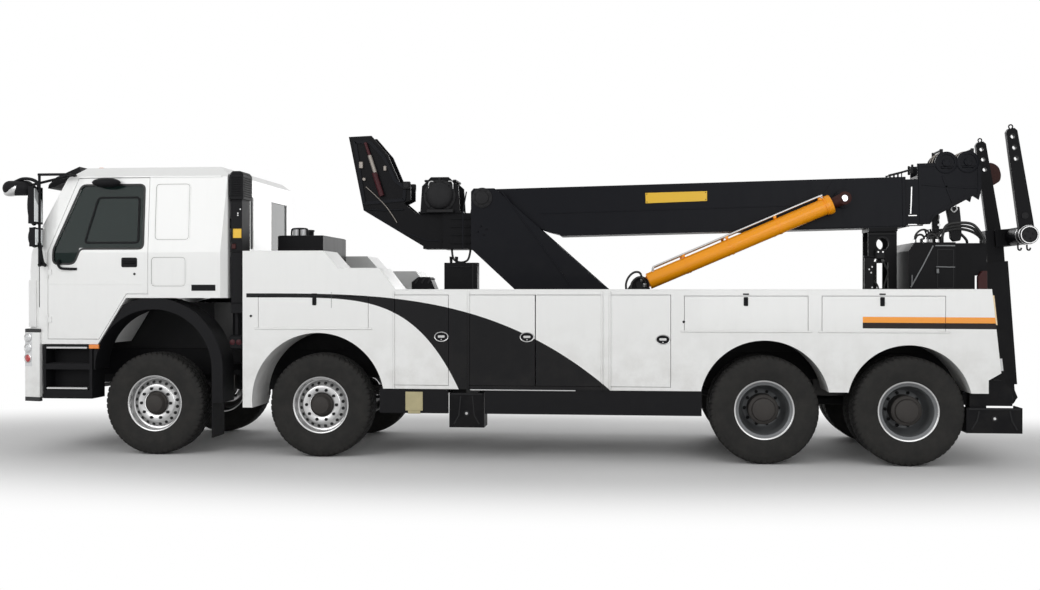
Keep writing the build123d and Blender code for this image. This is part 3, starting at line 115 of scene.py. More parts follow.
# %% [markdown]
# ## Finishes
# A finish is a small network of nodes. Writing sums as ordinary Python keeps them readable: a value
# wrapped in Level can be added, multiplied or compared, and each operator adds one Math node.

# %% Shader sums as Python


class Level:
    """One number that varies over a surface; operators add Math nodes."""

    def __init__(self, finish, socket):
        self.finish = finish
        self.socket = socket

    def _sum(self, operation, *values):
        return self.finish.node("Math", {"operation": operation}, dict(enumerate(values)))

    def __add__(self, other): return self._sum("ADD", self, other)
    def __radd__(self, other): return self._sum("ADD", other, self)
    def __sub__(self, other): return self._sum("SUBTRACT", self, other)
    def __rsub__(self, other): return self._sum("SUBTRACT", other, self)
    def __mul__(self, other): return self._sum("MULTIPLY", self, other)
    def __rmul__(self, other): return self._sum("MULTIPLY", other, self)
    def __truediv__(self, other): return self._sum("DIVIDE", self, other)
    def __pow__(self, other): return self._sum("POWER", self, other)
    def __gt__(self, other): return self._sum("GREATER_THAN", self, other)
    def __lt__(self, other): return self._sum("LESS_THAN", self, other)
    def __abs__(self): return self._sum("ABSOLUTE", self)

    def most(self, other):
        """The larger of two levels."""
        return self._sum("MAXIMUM", self, other)

    def ease(self, start, end):
        """0 before start, 1 after end, smooth between them."""
        return self.finish.node("MapRange", {"interpolation_type": "SMOOTHSTEP"},
                                {0: self, 1: start, 2: end, 3: 0.0, 4: 1.0})


print("levels ready")

# %% [markdown]
# A Finish holds the network itself, and it has a short name for each kind of node that is used
# often: noise, a blend of two colours, and a bump.

# %% A finish and its nodes


class Finish:
    """A procedural material: node() adds any node and returns its output."""

    def __init__(self, name, **fixed):
        self.material = bpy.data.materials.new(name)
        self.material.use_nodes = True
        self.tree = self.material.node_tree
        self.shader = self.tree.nodes["Principled BSDF"]
        self.place = self.tree.nodes.new("ShaderNodeTexCoord").outputs["Object"]
        for socket, value in fixed.items():
            self.shader.inputs[socket.replace("_", " ")].default_value = value

    def node(self, kind, settings=None, inputs=None, output=0):
        """Adds a node: its settings first, then the value or link of each socket."""
        made = self.tree.nodes.new("ShaderNode" + kind)
        for key, value in (settings or {}).items():
            if key == "stops":
                ramp = made.color_ramp.elements
                while len(ramp) < len(value):
                    ramp.new(0.5)
                for stop, (where, colour) in zip(ramp, value):
                    stop.position = where
                    stop.color = (*colour, 1.0)
            else:
                setattr(made, key, value)
        for key, value in (inputs or {}).items():
            self.link(made.inputs[key], value)
        return Level(self, made.outputs[output])

    def link(self, socket, value):
        """Feeds a socket with a level, a raw output, or a plain value."""
        if isinstance(value, Level):
            value = value.socket
        if isinstance(value, bpy.types.NodeSocket):
            self.tree.links.new(value, socket)
        elif isinstance(value, (tuple, list)) and len(value) == 3 and socket.type == "RGBA":
            socket.default_value = (*value, 1.0)
        else:
            socket.default_value = value

    def feed(self, **sockets):
        """Links the shader's own sockets."""
        for name, value in sockets.items():
            self.link(self.shader.inputs[name.replace("_", " ")], value)
        return self

    def axes(self):
        """The three object coordinates as levels."""
        parts = self.tree.nodes.new("ShaderNodeSeparateXYZ")
        self.tree.links.new(self.place, parts.inputs[0])
        return [Level(self, parts.outputs[n]) for n in range(3)]

    def noise(self, scale, detail=3.0, rough=0.5, stretch=None):
        """Soft cloudy noise, about `scale` spots to the metre."""
        where = self.place
        if stretch:
            where = self.node("Mapping", {}, {0: where, 3: stretch})
        return self.node("TexNoise", {},
                         {"Vector": where, "Scale": scale, "Detail": detail, "Roughness": rough})

    def blend(self, share, first, second):
        """A colour between two colours."""
        return self.node("Mix", {"data_type": "RGBA"}, {0: share, 6: first, 7: second}, output=2)

    def bump(self, height, distance, strength=1.0):
        """A normal from a height level."""
        return self.node("Bump", {}, {"Strength": strength, "Distance": distance, "Height": height})


print("shader helpers ready")

# %% [markdown]
# Paint on a working truck is one colour only from far away. Close up it has a film of road dust low
# down, a slight orange-peel in its gloss, and faint streaks. Each paint below starts from the same
# recipe with its own colour, gloss and dust.

# %% Paints


def dusty(finish, low, high):
    """Dust that is thickest near the ground and breaks up in clouds, 0 to 1."""
    x, y, z = finish.axes()
    height = 1 - z.ease(low, high)
    return height * finish.noise(5.0, 5.0, 0.6).ease(0.3, 0.75)


def upward(finish):
    """1 where a surface faces up, 0 on walls and below: the height part of its normal, eased."""
    normal = finish.node("TexCoord", output=1)
    return finish.node("SeparateXYZ", {}, {0: normal}, output=2).ease(0.7, 0.95)


def streaked(finish):
    """Thin upright streaks, 0 to 1."""
    return finish.noise(14.0, 4.0, 0.6, (1.0, 1.0, 0.12)).ease(0.45, 0.85)


def orange_peel(finish):
    """The slight waviness of sprayed gloss paint."""
    return finish.bump(finish.noise(160.0, 2.0), 0.0004, 0.25)


def darker(colour):
    """A colour at four fifths of its strength, for streaks."""
    return tuple(c * 0.8 for c in colour)


WHITE = (0.86, 0.865, 0.855)
BLACK = (0.004, 0.004, 0.005)
ROAD_DUST = (0.30, 0.28, 0.25)


def paint(name, colour, roughness, dust, coat=0.5, low=0.4, high=1.9, shine=0.5):
    """Gloss paint with orange-peel, thin streaks and road dust; shine is the specular level."""
    made = Finish(name, Coat_Roughness=0.08, Specular_IOR_Level=shine)
    top = upward(made)
    film = dusty(made, low, high) * dust + top * dust * 0.45
    streaks = streaked(made)
    shaded = made.blend(streaks * 0.10, colour, darker(colour))
    made.feed(
        Base_Color=made.blend(film, shaded, ROAD_DUST),
        Roughness=roughness + film * 0.35 + streaks * 0.05 + top * 0.25,
        Coat_Weight=(coat - film * coat) * (1 - top * 0.85),
        Normal=orange_peel(made))
    return made


white_paint = paint("white_paint", WHITE, 0.28, 0.30, low=0.5, high=1.6)
frame_black = paint("frame_black", BLACK, 0.55, 0.04, 0.0, 0.2, 1.2, shine=0.11)
deck_black = paint("deck_black", BLACK, 0.45, 0.02, 0.0, 0.6, 2.6, shine=0.10)
boom_black = paint("boom_black", (0.003, 0.0035, 0.006), 0.42, 0.01, 0.0, 1.5, 3.2, shine=0.12)
orange_paint = paint("orange_paint", (0.98, 0.36, 0.004), 0.34, 0.03, 0.25, shine=0.3)
print("paints:", [m.name for m in bpy.data.materials])

# %% [markdown]
# The side of the body carries two painted shapes. A black swoosh starts as a thin line behind the
# cab, runs back and sweeps down to the skirt. Its two edges are power curves of the distance
# behind its start. Near the tail a short stripe is orange over dark brown.

# %% White body paint with the swoosh and the stripe
OUTER_X = 1.2
SWOOSH_START = 1.04
UPPER_EDGE = (1.709, 0.978, 3.779, 3.3)
LOWER_EDGE = (1.666, 0.930, 2.231, 5.0)
STRIPE_START = 7.30
STRIPE_ORIGIN = 7.296
STRIPE_LOW = 1.364
STRIPE_SLOPE = -0.004
STRIPE_HEIGHT = 0.115
ORANGE_FROM = 0.057
SWOOSH_BLACK = (0.002, 0.002, 0.003)
STRIPE_BROWN = (0.008, 0.003, 0.003)
STRIPE_ORANGE = (0.92, 0.32, 0.008)
BODY_DUST = (0.32, 0.29, 0.25)


def body_paint():
    """White paint with the two marks, which only the bodies' outer faces carry."""
    made = Finish("body_paint", Coat_Roughness=0.08, Specular_IOR_Level=0.2)
    x, y, z = made.axes()
    outer = abs(x) > OUTER_X
    behind = (y - along(SWOOSH_START)).most(0.0)

    def edge(start_z, drop, length, power):
        """An edge's height = start_z - drop * (behind / length) ** power."""
        return start_z - drop * (behind / length) ** power

    swoosh = (z < edge(*UPPER_EDGE)) * (z > edge(*LOWER_EDGE)) * (y > along(SWOOSH_START)) * outer
    low_edge = STRIPE_LOW + (y - along(STRIPE_ORIGIN)) * STRIPE_SLOPE
    stripe = (z > low_edge) * (z < low_edge + STRIPE_HEIGHT) * (y > along(STRIPE_START)) * outer
    orange = z > low_edge + ORANGE_FROM
    dark = swoosh.most(stripe * (1 - orange))
    top = upward(made)
    film = dusty(made, 0.5, 1.7) * 0.26 * (1 - dark * 0.9) + top * 0.14
    streaks = streaked(made)
    white = made.blend(streaks * 0.10, WHITE, darker(WHITE))
    stripe_colour = made.blend(orange, STRIPE_BROWN, STRIPE_ORANGE)
    marked = made.blend(stripe, made.blend(swoosh, white, SWOOSH_BLACK), stripe_colour)
    made.feed(
        Base_Color=made.blend(film, marked, BODY_DUST),
        Roughness=0.28 + film * 0.35 + streaks * 0.05 + top * 0.25,
        Coat_Weight=(0.5 - film * 0.5) * (1 - dark) * (1 - top * 0.85),
        Normal=orange_peel(made))
    return made


side_paint = body_paint()
print("body paint ready")

# %% [markdown]
# Rubber, plastic, glass, castings and bright steel have simpler looks, but none is one flat colour:
# rubber greys towards the ground, plastic has a fine grain, castings are mottled and steel has a
# fine turned or brushed line in its gloss.

# %% Rubber, plastic, metal and glass


def plain(name, colour, roughness, grain=220.0, depth=0.0006, mottle=0.25, **fixed):
    """A grained surface whose colour and roughness wander a little."""
    made = Finish(name, **fixed)
    cloud = made.noise(9.0, 4.0, 0.6)
    made.feed(Base_Color=made.blend(cloud * mottle, colour,
                                    tuple(min(1.0, c * 1.9 + 0.01) for c in colour)),
              Roughness=roughness + (cloud - 0.5) * 0.15,
              Normal=made.bump(made.noise(grain, 2.0), depth, 0.4))
    return made


plastic = plain("black_plastic", (0.006, 0.006, 0.007), 0.55, Specular_IOR_Level=0.12)
dark_cast = plain("dark_cast", (0.010, 0.010, 0.011), 0.6, 90.0, 0.002, 0.5,
                  Specular_IOR_Level=0.18)
spring_steel = plain("spring_steel", (0.028, 0.026, 0.025), 0.5, 120.0, 0.001, 0.6, Metallic=0.3)
rod_chrome = plain("rod_chrome", (0.62, 0.63, 0.65), 0.12, 300.0, 0.0001, 0.05, Metallic=1.0)
bright_steel = plain("bright_steel", (0.50, 0.50, 0.50), 0.30, 260.0, 0.0003, 0.2, Metallic=0.9)
# This dark grey is partly painted shade where the rear rims use it: it darkens their deep dishes.
grey_rim = plain("grey_rim", (0.14, 0.145, 0.15), 0.45, 200.0, 0.0005, 0.25, Metallic=0.3)
hub_brown = plain("hub_brown", (0.030, 0.027, 0.025), 0.6, 120.0, 0.001, 0.5,
                  Specular_IOR_Level=0.25)
cab_trim = plain("cab_trim", (0.032, 0.033, 0.034), 0.7, 260.0, 0.0006, 0.2)
hose_rubber = plain("hose_rubber", (0.009, 0.009, 0.009), 0.45, 300.0, 0.0003, 0.3,
                    Specular_IOR_Level=0.35)
cable_steel = plain("cable_steel", (0.22, 0.20, 0.18), 0.45, 400.0, 0.0006, 0.4, Metallic=0.7)
glass = plain("dark_glass", (0.010, 0.020, 0.018), 0.05, 3.0, 0.0002, 0.1, Alpha=0.88,
              Specular_IOR_Level=0.14)
lamp_glass = plain("lamp_glass", (0.62, 0.63, 0.64), 0.08, 60.0, 0.002, 0.1, Coat_Weight=1.0)
red_lens = plain("red_lens", (0.42, 0.012, 0.010), 0.15, 80.0, 0.003, 0.2, Coat_Weight=1.0)
amber_lens = plain("amber_lens", (0.85, 0.22, 0.012), 0.15, 80.0, 0.003, 0.2, Coat_Weight=1.0)
yellow_plate = plain("yellow_plate", (0.80, 0.47, 0.015), 0.35, 200.0, 0.0002, 0.08)
mirror_glass = plain("mirror_glass", (0.75, 0.77, 0.78), 0.03, 3.0, 0.0001, 0.02, Metallic=1.0)
print(len(bpy.data.materials), "finishes")

# %% [markdown]
# A node from the solid model keeps its shape and only gets its finish here. The lockers take the
# paint that carries the marks.

# %% Each solid gets its finish
FINISH_OF = {
    "white_paint": white_paint, "frame_black": frame_black, "deck_black": deck_black,
    "orange_paint": orange_paint, "rod_chrome": rod_chrome, "cast_grey": dark_cast,
    "spring_steel": spring_steel, "black_plastic": plastic, "cab_trim": cab_trim,
    "glass": glass, "lamp_glass": lamp_glass, "tyre": plastic,
}
SLOT_OF = {entry["node"]: entry["material_slot"] for entry in frame["record"]["subparts"]}


def finish_node(node, finish):
    """Puts one finish in all of a node's material slots."""
    thing = frame["nodes"][node]
    thing.data.materials.clear()
    thing.data.materials.append(finish.material)


for node in frame["nodes"]:
    finish_node(node, side_paint if node.startswith("locker_") else FINISH_OF[SLOT_OF[node]])
for node in ("boom", "boom_stage", "boom_column"):
    finish_node(node, boom_black)
print(len(frame["nodes"]), "nodes finished")

# %% [markdown]
# ## Making new pieces
# Every added piece is a surface worked out with numpy. A grid of points is bent into shape with
# whole-array sums, and one helper turns it into a mesh that rides on a body of the truck.

# %% From arrays to pieces


def join(shapes):
    """Several (points, faces) pairs as one; a face is a row of point numbers."""
    points, faces, start = [], [], 0
    for p, f in shapes:
        points.append(p)
        faces += [np.asarray(row) + start for row in f]
        start += len(p)
    return np.concatenate(points), faces


def grid_faces(rows, columns, loop_rows=False, loop_columns=False):
    """Quads of a rows by columns grid, joined round where it loops."""
    r = np.arange(rows if loop_rows else rows - 1)
    c = np.arange(columns if loop_columns else columns - 1)
    a = (r[:, None] * columns + c[None, :])
    b = (r[:, None] * columns + (c[None, :] + 1) % columns)
    low = ((r[:, None] + 1) % rows) * columns
    d = low + c[None, :]
    e = low + (c[None, :] + 1) % columns
    return np.stack([a, b, e, d], axis=-1).reshape(-1, 4)


def piece(name, shape, body, finish, smooth=True, levels=None):
    """A mesh object from points and faces, riding on a body of the truck."""
    points, faces = shape
    mesh = bpy.data.meshes.new(name)
    mesh.from_pydata(np.asarray(points, float).tolist(), [],
                     [np.asarray(row).tolist() for row in faces])
    mesh.validate()
    for key, values in (levels or {}).items():
        mesh.attributes.new(key, "FLOAT", "POINT").data.foreach_set("value", values)
    work = bmesh.new()
    work.from_mesh(mesh)
    bmesh.ops.remove_doubles(work, verts=work.verts, dist=1e-6)
    bmesh.ops.recalc_face_normals(work, faces=work.faces)
    work.to_mesh(mesh)
    work.free()
    mesh.polygons.foreach_set("use_smooth", np.full(len(mesh.polygons), smooth))
    if smooth:
        mesh.set_sharp_from_angle(angle=math.radians(38))
    mesh.materials.append(finish.material)
    thing = bpy.data.objects.new(name, mesh)
    bpy.context.scene.collection.objects.link(thing)
    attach(thing, body)
    return thing


print("joining, grids and pieces ready")

# %% [markdown]
# Turned parts and blocks with bevelled edges are what most of the small parts are made of.

# %% Turned shapes and blocks


def turned(profile, centre, segments=96):
    """A profile of (distance along X, radius) points carried round an axis along X.

    Point = centre + (d, r cos t, r sin t)."""
    profile = np.asarray(profile, float)
    t = np.linspace(0, 2 * np.pi, segments, endpoint=False)
    d = np.repeat(profile[:, 0][:, None], segments, 1)
    r = profile[:, 1][:, None]
    points = np.stack([d, r * np.cos(t), r * np.sin(t)], axis=-1).reshape(-1, 3)
    return points + np.asarray(centre, float), grid_faces(len(profile), segments, loop_columns=True)


def brick(low, high, edge=0.004):
    """A box with bevelled edges: rings of a rounded square drawn in at both ends."""
    low, high = np.minimum(low, high).astype(float), np.maximum(low, high).astype(float)
    middle, half = (low + high) / 2, (high - low) / 2
    edge = min(edge, half.min() * 0.9)
    corners = np.array([[1, 1], [-1, 1], [-1, -1], [1, -1]], float)
    rings = []
    for z, draw in ((-1, 1), (-1, 0), (1, 0), (1, 1)):
        ring = []
        for cx, cy in corners:
            first = (cx * (half[0] - edge * (1 + draw)), cy * (half[1] - edge * draw))
            second = (cx * (half[0] - edge * draw), cy * (half[1] - edge * (1 + draw)))
            ring += [first, second] if cx * cy < 0 else [second, first]
        height = z * (half[2] - (0 if draw else edge))
        rings.append([(px, py, height) for px, py in ring])
    points = np.array(rings).reshape(-1, 3)
    return points + middle, [*grid_faces(4, 8, loop_columns=True), np.arange(8), np.arange(24, 32)]


print("turned shapes and blocks ready")

# %% [markdown]
# Pipes, bars and ropes are tubes along a path, which can be straight or a smooth curve.

# %% Tubes


def tube(path, radius, sides=10):
    """A round tube with closed ends along a path: each point's ring stands square to the path."""
    path = np.asarray(path, float)
    run = np.gradient(path, axis=0)
    run /= np.linalg.norm(run, axis=1)[:, None]
    side = np.zeros_like(run)
    ref = np.array([0.0, 0.0, 1.0]) if abs(run[0][2]) < 0.9 else np.array([1.0, 0.0, 0.0])
    side[0] = np.cross(run[0], ref)
    side[0] /= np.linalg.norm(side[0])
    for n in range(1, len(path)):
        s = side[n - 1] - run[n] * np.dot(side[n - 1], run[n])
        side[n] = s / np.linalg.norm(s)
    up = np.cross(run, side)
    t = np.linspace(0, 2 * np.pi, sides, endpoint=False)
    radius = np.broadcast_to(np.asarray(radius, float), (len(path),))[:, None, None]
    rings = path[:, None, :] + radius * (
        np.cos(t)[None, :, None] * side[:, None, :] + np.sin(t)[None, :, None] * up[:, None, :])
    ends = [np.arange(sides), np.arange(sides) + (len(path) - 1) * sides]
    return rings.reshape(-1, 3), [*grid_faces(len(path), sides, loop_columns=True), *ends]


def smooth_path(corners, steps=12):
    """A smooth curve through the corners: a Catmull-Rom blend of four at a time."""
    p = np.asarray(corners, float)
    p = np.concatenate([[2 * p[0] - p[1]], p, [2 * p[-1] - p[-2]]])
    t = np.linspace(0, 1, steps, endpoint=False)[None, :, None]
    a, b, c, d = (p[i:len(p) - 3 + i][:, None, :] for i in range(4))
    curve = 0.5 * (2 * b + (c - a) * t + (2 * a - 5 * b + 4 * c - d) * t ** 2
                   + (3 * b - a - 3 * c + d) * t ** 3)
    return np.concatenate([curve.reshape(-1, 3), p[-2:-1]])


def bent(points, steps, radius, sides=10):
    """A tube on a smooth curve through points given as (X, station, height)."""
    return tube(smooth_path([at(*point) for point in points], steps), radius, sides)


print("tubes ready")

# %% [markdown]
# Pressed and welded plates start as flat outlines. Their corners can be rounded, and they can be
# drawn in evenly for a bevel or a rim.

# %% Flat outlines


def mirrored(shape):
    """The same shape on the right side."""
    points, faces = shape
    return points * np.array([-1.0, 1.0, 1.0]), [np.asarray(row)[::-1] for row in faces]


def inset(outline, draw):
    """A flat outline drawn in evenly: each corner slides along the mitre of its two edges."""
    p = np.asarray(outline, float)
    edge = np.roll(p, -1, 0) - p
    edge /= np.linalg.norm(edge, axis=1)[:, None]
    normal = np.stack([-edge[:, 1], edge[:, 0]], 1)
    before = np.roll(normal, 1, 0)
    mitre = (normal + before) / (1.0 + (normal * before).sum(1))[:, None]
    area = (p[:, 0] * np.roll(p[:, 1], -1) - np.roll(p[:, 0], -1) * p[:, 1]).sum()
    return p + np.sign(area) * draw * mitre


def rounded(corners, radius, steps=5):
    """Each corner becomes a parabola between two points `radius` before and behind it."""
    p = np.asarray(corners, float)
    made = []
    for before, corner, after in zip(np.roll(p, 1, 0), p, np.roll(p, -1, 0)):
        first, second = before - corner, after - corner
        start = corner + first * min(radius / np.linalg.norm(first), 0.49)
        end = corner + second * min(radius / np.linalg.norm(second), 0.49)
        t = np.linspace(0, 1, steps)[:, None]
        made.append((1 - t) ** 2 * start + 2 * t * (1 - t) * corner + t ** 2 * end)
    return np.concatenate(made)


def stations(corners):
    """Side-view corners given as (station, height) in the frame's own Y and Z."""
    return np.array([(along(s), z) for s, z in corners])


print("outlines ready")

# %% [markdown]
# An outline in the side view, the front view or the plan becomes a plate with bevelled rims, or a
# strip that runs inside the outline.

# %% Outlines given depth
PLANES = {"side": (1, 2, 0), "front": (0, 2, 1), "plan": (0, 1, 2)}


def placed(rings, plane):
    """Rings of flat points at their depths as points in space."""
    first, second, third = PLANES[plane]
    points = np.zeros((len(rings), len(rings[0][1]), 3))
    for row, (depth, flat) in zip(points, rings):
        row[:, first], row[:, second], row[:, third] = flat[:, 0], flat[:, 1], depth
    return points.reshape(-1, 3)


def prism(outline, start, end, edge=0.002, plane="side"):
    """A flat outline carried from one depth to another; both rims are bevelled by `edge`."""
    flat = np.asarray(outline, float)
    low, high = min(start, end), max(start, end)
    edge = min(edge, (high - low) * 0.45)
    drawn = inset(flat, edge)
    count = len(flat)
    points = placed([(low, drawn), (low + edge, flat), (high - edge, flat), (high, drawn)], plane)
    caps = [np.arange(count), np.arange(count) + 3 * count]
    return points, [*grid_faces(4, count, loop_columns=True), *caps]


def band(outline, width, start, end, plane="side"):
    """A flat closed strip that runs inside an outline, carried from one depth to another."""
    flat = np.asarray(outline, float)
    drawn = inset(flat, width)
    points = placed([(start, flat), (end, flat), (end, drawn), (start, drawn)], plane)
    return points, grid_faces(4, len(flat), loop_rows=True, loop_columns=True)


print("plates and strips ready")

# %% [markdown]
# Nuts, discs, strips and rings of bolts come up all over the truck. A small turned part is drawn
# along X and then aimed; a piece that both sides have is made once and mirrored.

# %% Small parts that repeat


def aimed(shape, direction, place):
    """A shape drawn along X from zero, turned to a direction and moved to its place."""
    x = np.asarray(direction, float) / np.linalg.norm(direction)
    ref = np.array([0.0, 0.0, 1.0]) if abs(x[2]) < 0.9 else np.array([0.0, 1.0, 0.0])
    y = np.cross(ref, x)
    y /= np.linalg.norm(y)
    points, faces = shape
    return points @ np.array([x, y, np.cross(x, y)]) + np.asarray(place, float), faces


def lathe(profile, place, segments, direction=(1, 0, 0)):
    """A small turned part whose profile starts at its place and runs along a direction."""
    return aimed(turned(profile, (0, 0, 0), segments), direction, place)


def nut(place, radius, height, direction=(1, 0, 0)):
    """A six-sided nut with a chamfer and a domed stud end."""
    profile = [(0, radius), (height * 0.8, radius), (height, radius * 0.85),
               (height, radius * 0.55), (height * 1.5, radius * 0.5), (height * 1.6, 0.0001)]
    return lathe(profile, place, 6, direction)


def disc(place, radius, height, direction=(1, 0, 0), edge=0.002, segments=24):
    """A round plate with a bevelled rim."""
    profile = [(0, radius), (height - edge, radius), (height, radius - edge), (height, 0.0001)]
    return lathe(profile, place, segments, direction)


def ribbon(corners, width, start, end, edge=0.0015):
    """A flat strip of even width along a side-view line, from one depth to another."""
    line = stations(corners)
    run = np.gradient(line, axis=0)
    run /= np.linalg.norm(run, axis=1)[:, None]
    off = np.stack([-run[:, 1], run[:, 0]], 1) * width / 2
    return prism(np.concatenate([line + off, (line - off)[::-1]]), start, end, edge)


def raised(corners, width, face_x, height):
    """A flat strip of even width that stands proud of an upright face."""
    return ribbon(corners, width, face_x - 0.001, face_x + height)


def bolt_ring(s, z, x, radius, count, size):
    """Bolt heads evenly round a point on a face that looks out sideways."""
    heads = []
    for a in np.arange(count) * 2 * np.pi / count + 0.3:
        place = (x, along(s) + radius * math.cos(a), z + radius * math.sin(a))
        heads.append(nut(place, size, size * 0.8))
    return heads


def pair(name, shape, body, finish):
    """A piece on the left and its mirror image on the right; {side} is filled in for each."""
    for side, made in (("left", shape), ("right", mirrored(shape))):
        piece(f"{name}_{side}", made, body.format(side=side), finish)


print("small parts ready")

# %% [markdown]
# ## Wheels
# A truck tyre is a turned shape only in its side walls. Its tread has ribs between deep grooves,
# and the shoulders are cut into blocks. So the tread is a grid in angle and width whose radius
# drops where a groove passes. The radius is also stored on the mesh, so that dust can lie
# differently on the walls and the tread, and the walls can have fine rings.

# %% Tyre rubber


def tyre_rubber():
    """Rubber with fine rings on its walls and dust that settles in clouds."""
    made = Finish("tyre_rubber", Roughness=0.8, Specular_IOR_Level=0.25)
    reach = made.node("Attribute", {"attribute_name": "from_axle"}, output=2)
    x, y, z = made.axes()
    wall = 1 - reach.ease(0.515, 0.535)
    cloud = made.noise(7.0, 5.0, 0.65)
    dust = (cloud.ease(0.25, 0.8) * 0.20 + 0.05) * wall + (1 - wall) * 0.16 * cloud
    rings = made.node("Math", {"operation": "SINE"}, {0: reach * 900.0})
    made.feed(
        Base_Color=made.blend(dust, (0.009, 0.009, 0.009), (0.070, 0.065, 0.058)),
        Roughness=0.72 + dust * 0.2,
        Normal=made.bump(rings * wall * 0.25 + made.noise(240.0, 2.0) * 0.5, 0.0008, 0.6))
    return made


rubber = tyre_rubber()
print("rubber ready")

# %% [markdown]
# The tyre's wall is one line from its bead to its shoulder, and the tread goes on from there with a
# point at each side of every groove. All distances are from the wheel's middle plane and its axis.

# %% Tyre shape
TREAD_DEPTH = 0.014
SIPE_DEPTH = 0.005
PITCHES = 54
STEPS = 8
CROWN_RADIUS = 0.5375
CROWN_RISE = 0.0045
SHOULDER = 0.114
WALL_LINE = [(0.119, 0.2862), (0.127, 0.296), (0.133, 0.312), (0.1395, 0.340), (0.146, 0.375),
             (0.1495, 0.410), (0.1500, 0.440), (0.1480, 0.452), (0.1485, 0.456), (0.1470, 0.470),
             (0.1430, 0.490), (0.1395, 0.500), (0.1370, 0.512), (0.1310, 0.524), (0.1220, 0.533)]
RIB_LINE = [0.114, 0.100, 0.0930, 0.0905, 0.0800, 0.0775, 0.060, 0.0420, 0.0395, 0.0300, 0.0275,
            0.010]


def tyre_shape(centre):
    """Point = centre + d along X, radius r(d, t): grooves lower r where |d| is in a rib gap, and
    the shoulder is notched where the pitch angle's fraction is small."""
    crown = [(d, CROWN_RADIUS + CROWN_RISE * math.cos(d / SHOULDER * math.pi / 2))
             for d in RIB_LINE]
    across = WALL_LINE + crown
    line = np.array(across + [(-d, r) for d, r in reversed(across)])
    steps = PITCHES * STEPS
    t = np.arange(steps) / steps * 2 * np.pi
    d, r = line[:, 0][:, None] + 0 * t, line[:, 1][:, None] + 0 * t
    width = np.abs(d)
    phase = (t * PITCHES / (2 * np.pi) + d * 9.0) % 1.0
    gap = ((width > 0.079) & (width < 0.092)) | ((width > 0.029) & (width < 0.041))
    cut = (phase < 0.26) & (r > 0.505) & (width > 0.076)
    sipe = (phase < 0.14) & (width < 0.0785)
    r = r - TREAD_DEPTH * np.maximum(gap, cut * 0.8) - SIPE_DEPTH * (sipe & ~gap)
    points = np.stack([d, r * np.cos(t), r * np.sin(t)], axis=-1).reshape(-1,
                                                                          3) + np.asarray(centre)
    faces = grid_faces(len(line), steps, loop_rows=True, loop_columns=True)
    return points, faces, r.ravel()


print("tyre:", PITCHES, "blocks round the shoulder")

# %% [markdown]
# A front rim bows outwards and has twenty vents, drawn as dark discs of painted shade; a rear rim
# is a deep dish, its grey darkened with painted shade. Both are turned from an outline of
# (outwards, radius) points, and so are the hubs with their domed caps.

# %% Rims, hubs and nuts
RIM_FLANGE = [
    (-0.118, 0.276), (-0.130, 0.285), (-0.130, 0.297), (-0.119, 0.2975), (-0.117, 0.284),
    (0.117, 0.284), (0.119, 0.2975), (0.127, 0.2980), (0.1305, 0.2945), (0.130, 0.287),
]
FRONT_RIM = RIM_FLANGE + [
    (0.122, 0.278), (0.105, 0.273), (0.070, 0.2715), (0.040, 0.268), (0.036, 0.256), (0.048, 0.246),
    (0.066, 0.226), (0.078, 0.206), (0.0865, 0.200), (0.0890, 0.192), (0.0890, 0.132),
    (0.086, 0.128),
]
REAR_RIM = RIM_FLANGE + [
    (0.124, 0.279), (0.112, 0.252), (0.095, 0.246), (0.020, 0.244), (-0.055, 0.240),
    (-0.092, 0.232), (-0.120, 0.214), (-0.146, 0.196), (-0.150, 0.186), (-0.150, 0.120),
]
# The bright lip stands a millimetre proud of a rear rim's edge.
BRIGHT_LIP = [(0.1195, 0.2980), (0.1275, 0.2992), (0.1318, 0.2952), (0.1312, 0.2865),
              (0.1255, 0.2790), (0.1225, 0.2782)]
NUTS_A_WHEEL = 10
NUT_SIZE = 0.017
VENTS = 20
VENT_DEPTH = 0.004
VENT_LEAN = 0.60


def hub_line(reach_out, radius):
    """A stepped hub with a domed cap."""
    return [
        (-0.150, radius), (reach_out * 0.45, radius), (reach_out * 0.55, radius * 0.94),
        (reach_out * 0.62, radius * 0.80), (reach_out * 0.90, radius * 0.74),
        (reach_out * 0.97, radius * 0.66), (reach_out * 0.985, radius * 0.50),
        (reach_out, radius * 0.46), (reach_out, 0.0004),
    ]


def facing_side(line, sign):
    """An outline of (outwards, radius) points, turned to the side that it looks to."""
    return [(sign * d, r) for d, r in line]


def nut_ring(centre, sign, out, radius, height):
    """Wheel nuts on a circle round the hub, on a face that lies `out` beyond the centre."""
    nuts = []
    for turn in range(NUTS_A_WHEEL):
        t = 2 * math.pi * turn / NUTS_A_WHEEL
        spot = centre + [sign * out, radius * math.cos(t), radius * math.sin(t)]
        nuts.append(nut(spot, NUT_SIZE, height, (sign, 0, 0)))
    return join(nuts)


def vent_shade_ring(centre, sign, out, radius, size):
    """Dark discs of painted shade for the vents, each leaned out with the rim's slope."""
    made = []
    for n in range(VENTS):
        t = 2 * math.pi * (n + 0.5) / VENTS
        place = [sign * (out - VENT_DEPTH), radius * math.cos(t), radius * math.sin(t)]
        across = sign * math.sqrt(1 - VENT_LEAN ** 2)
        looks = (across, VENT_LEAN * math.cos(t), VENT_LEAN * math.sin(t))
        made.append(disc(np.asarray(centre) + place, size, VENT_DEPTH, looks, 0.001, 14))
    return join(made)


print("rims and hubs ready")

# %% [markdown]
# A front wheel is one tyre on one rim. A rear wheel is two of each on one hub. The new tyre takes
# the place of the solid one and rides on the same body.

# %% Wheels on their hubs
TWIN_OFFSET = 0.17


def tyre_piece(name, centre, body):
    """A tyre with its radius stored at every point."""
    points, quads, reach = tyre_shape(centre)
    return piece(name, (points, quads), body, rubber, levels={"from_axle": reach})


def middle_x(body):
    """The X of the middle plane of a wheel body."""
    low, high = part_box(body)
    return (low[0] + high[0]) / 2


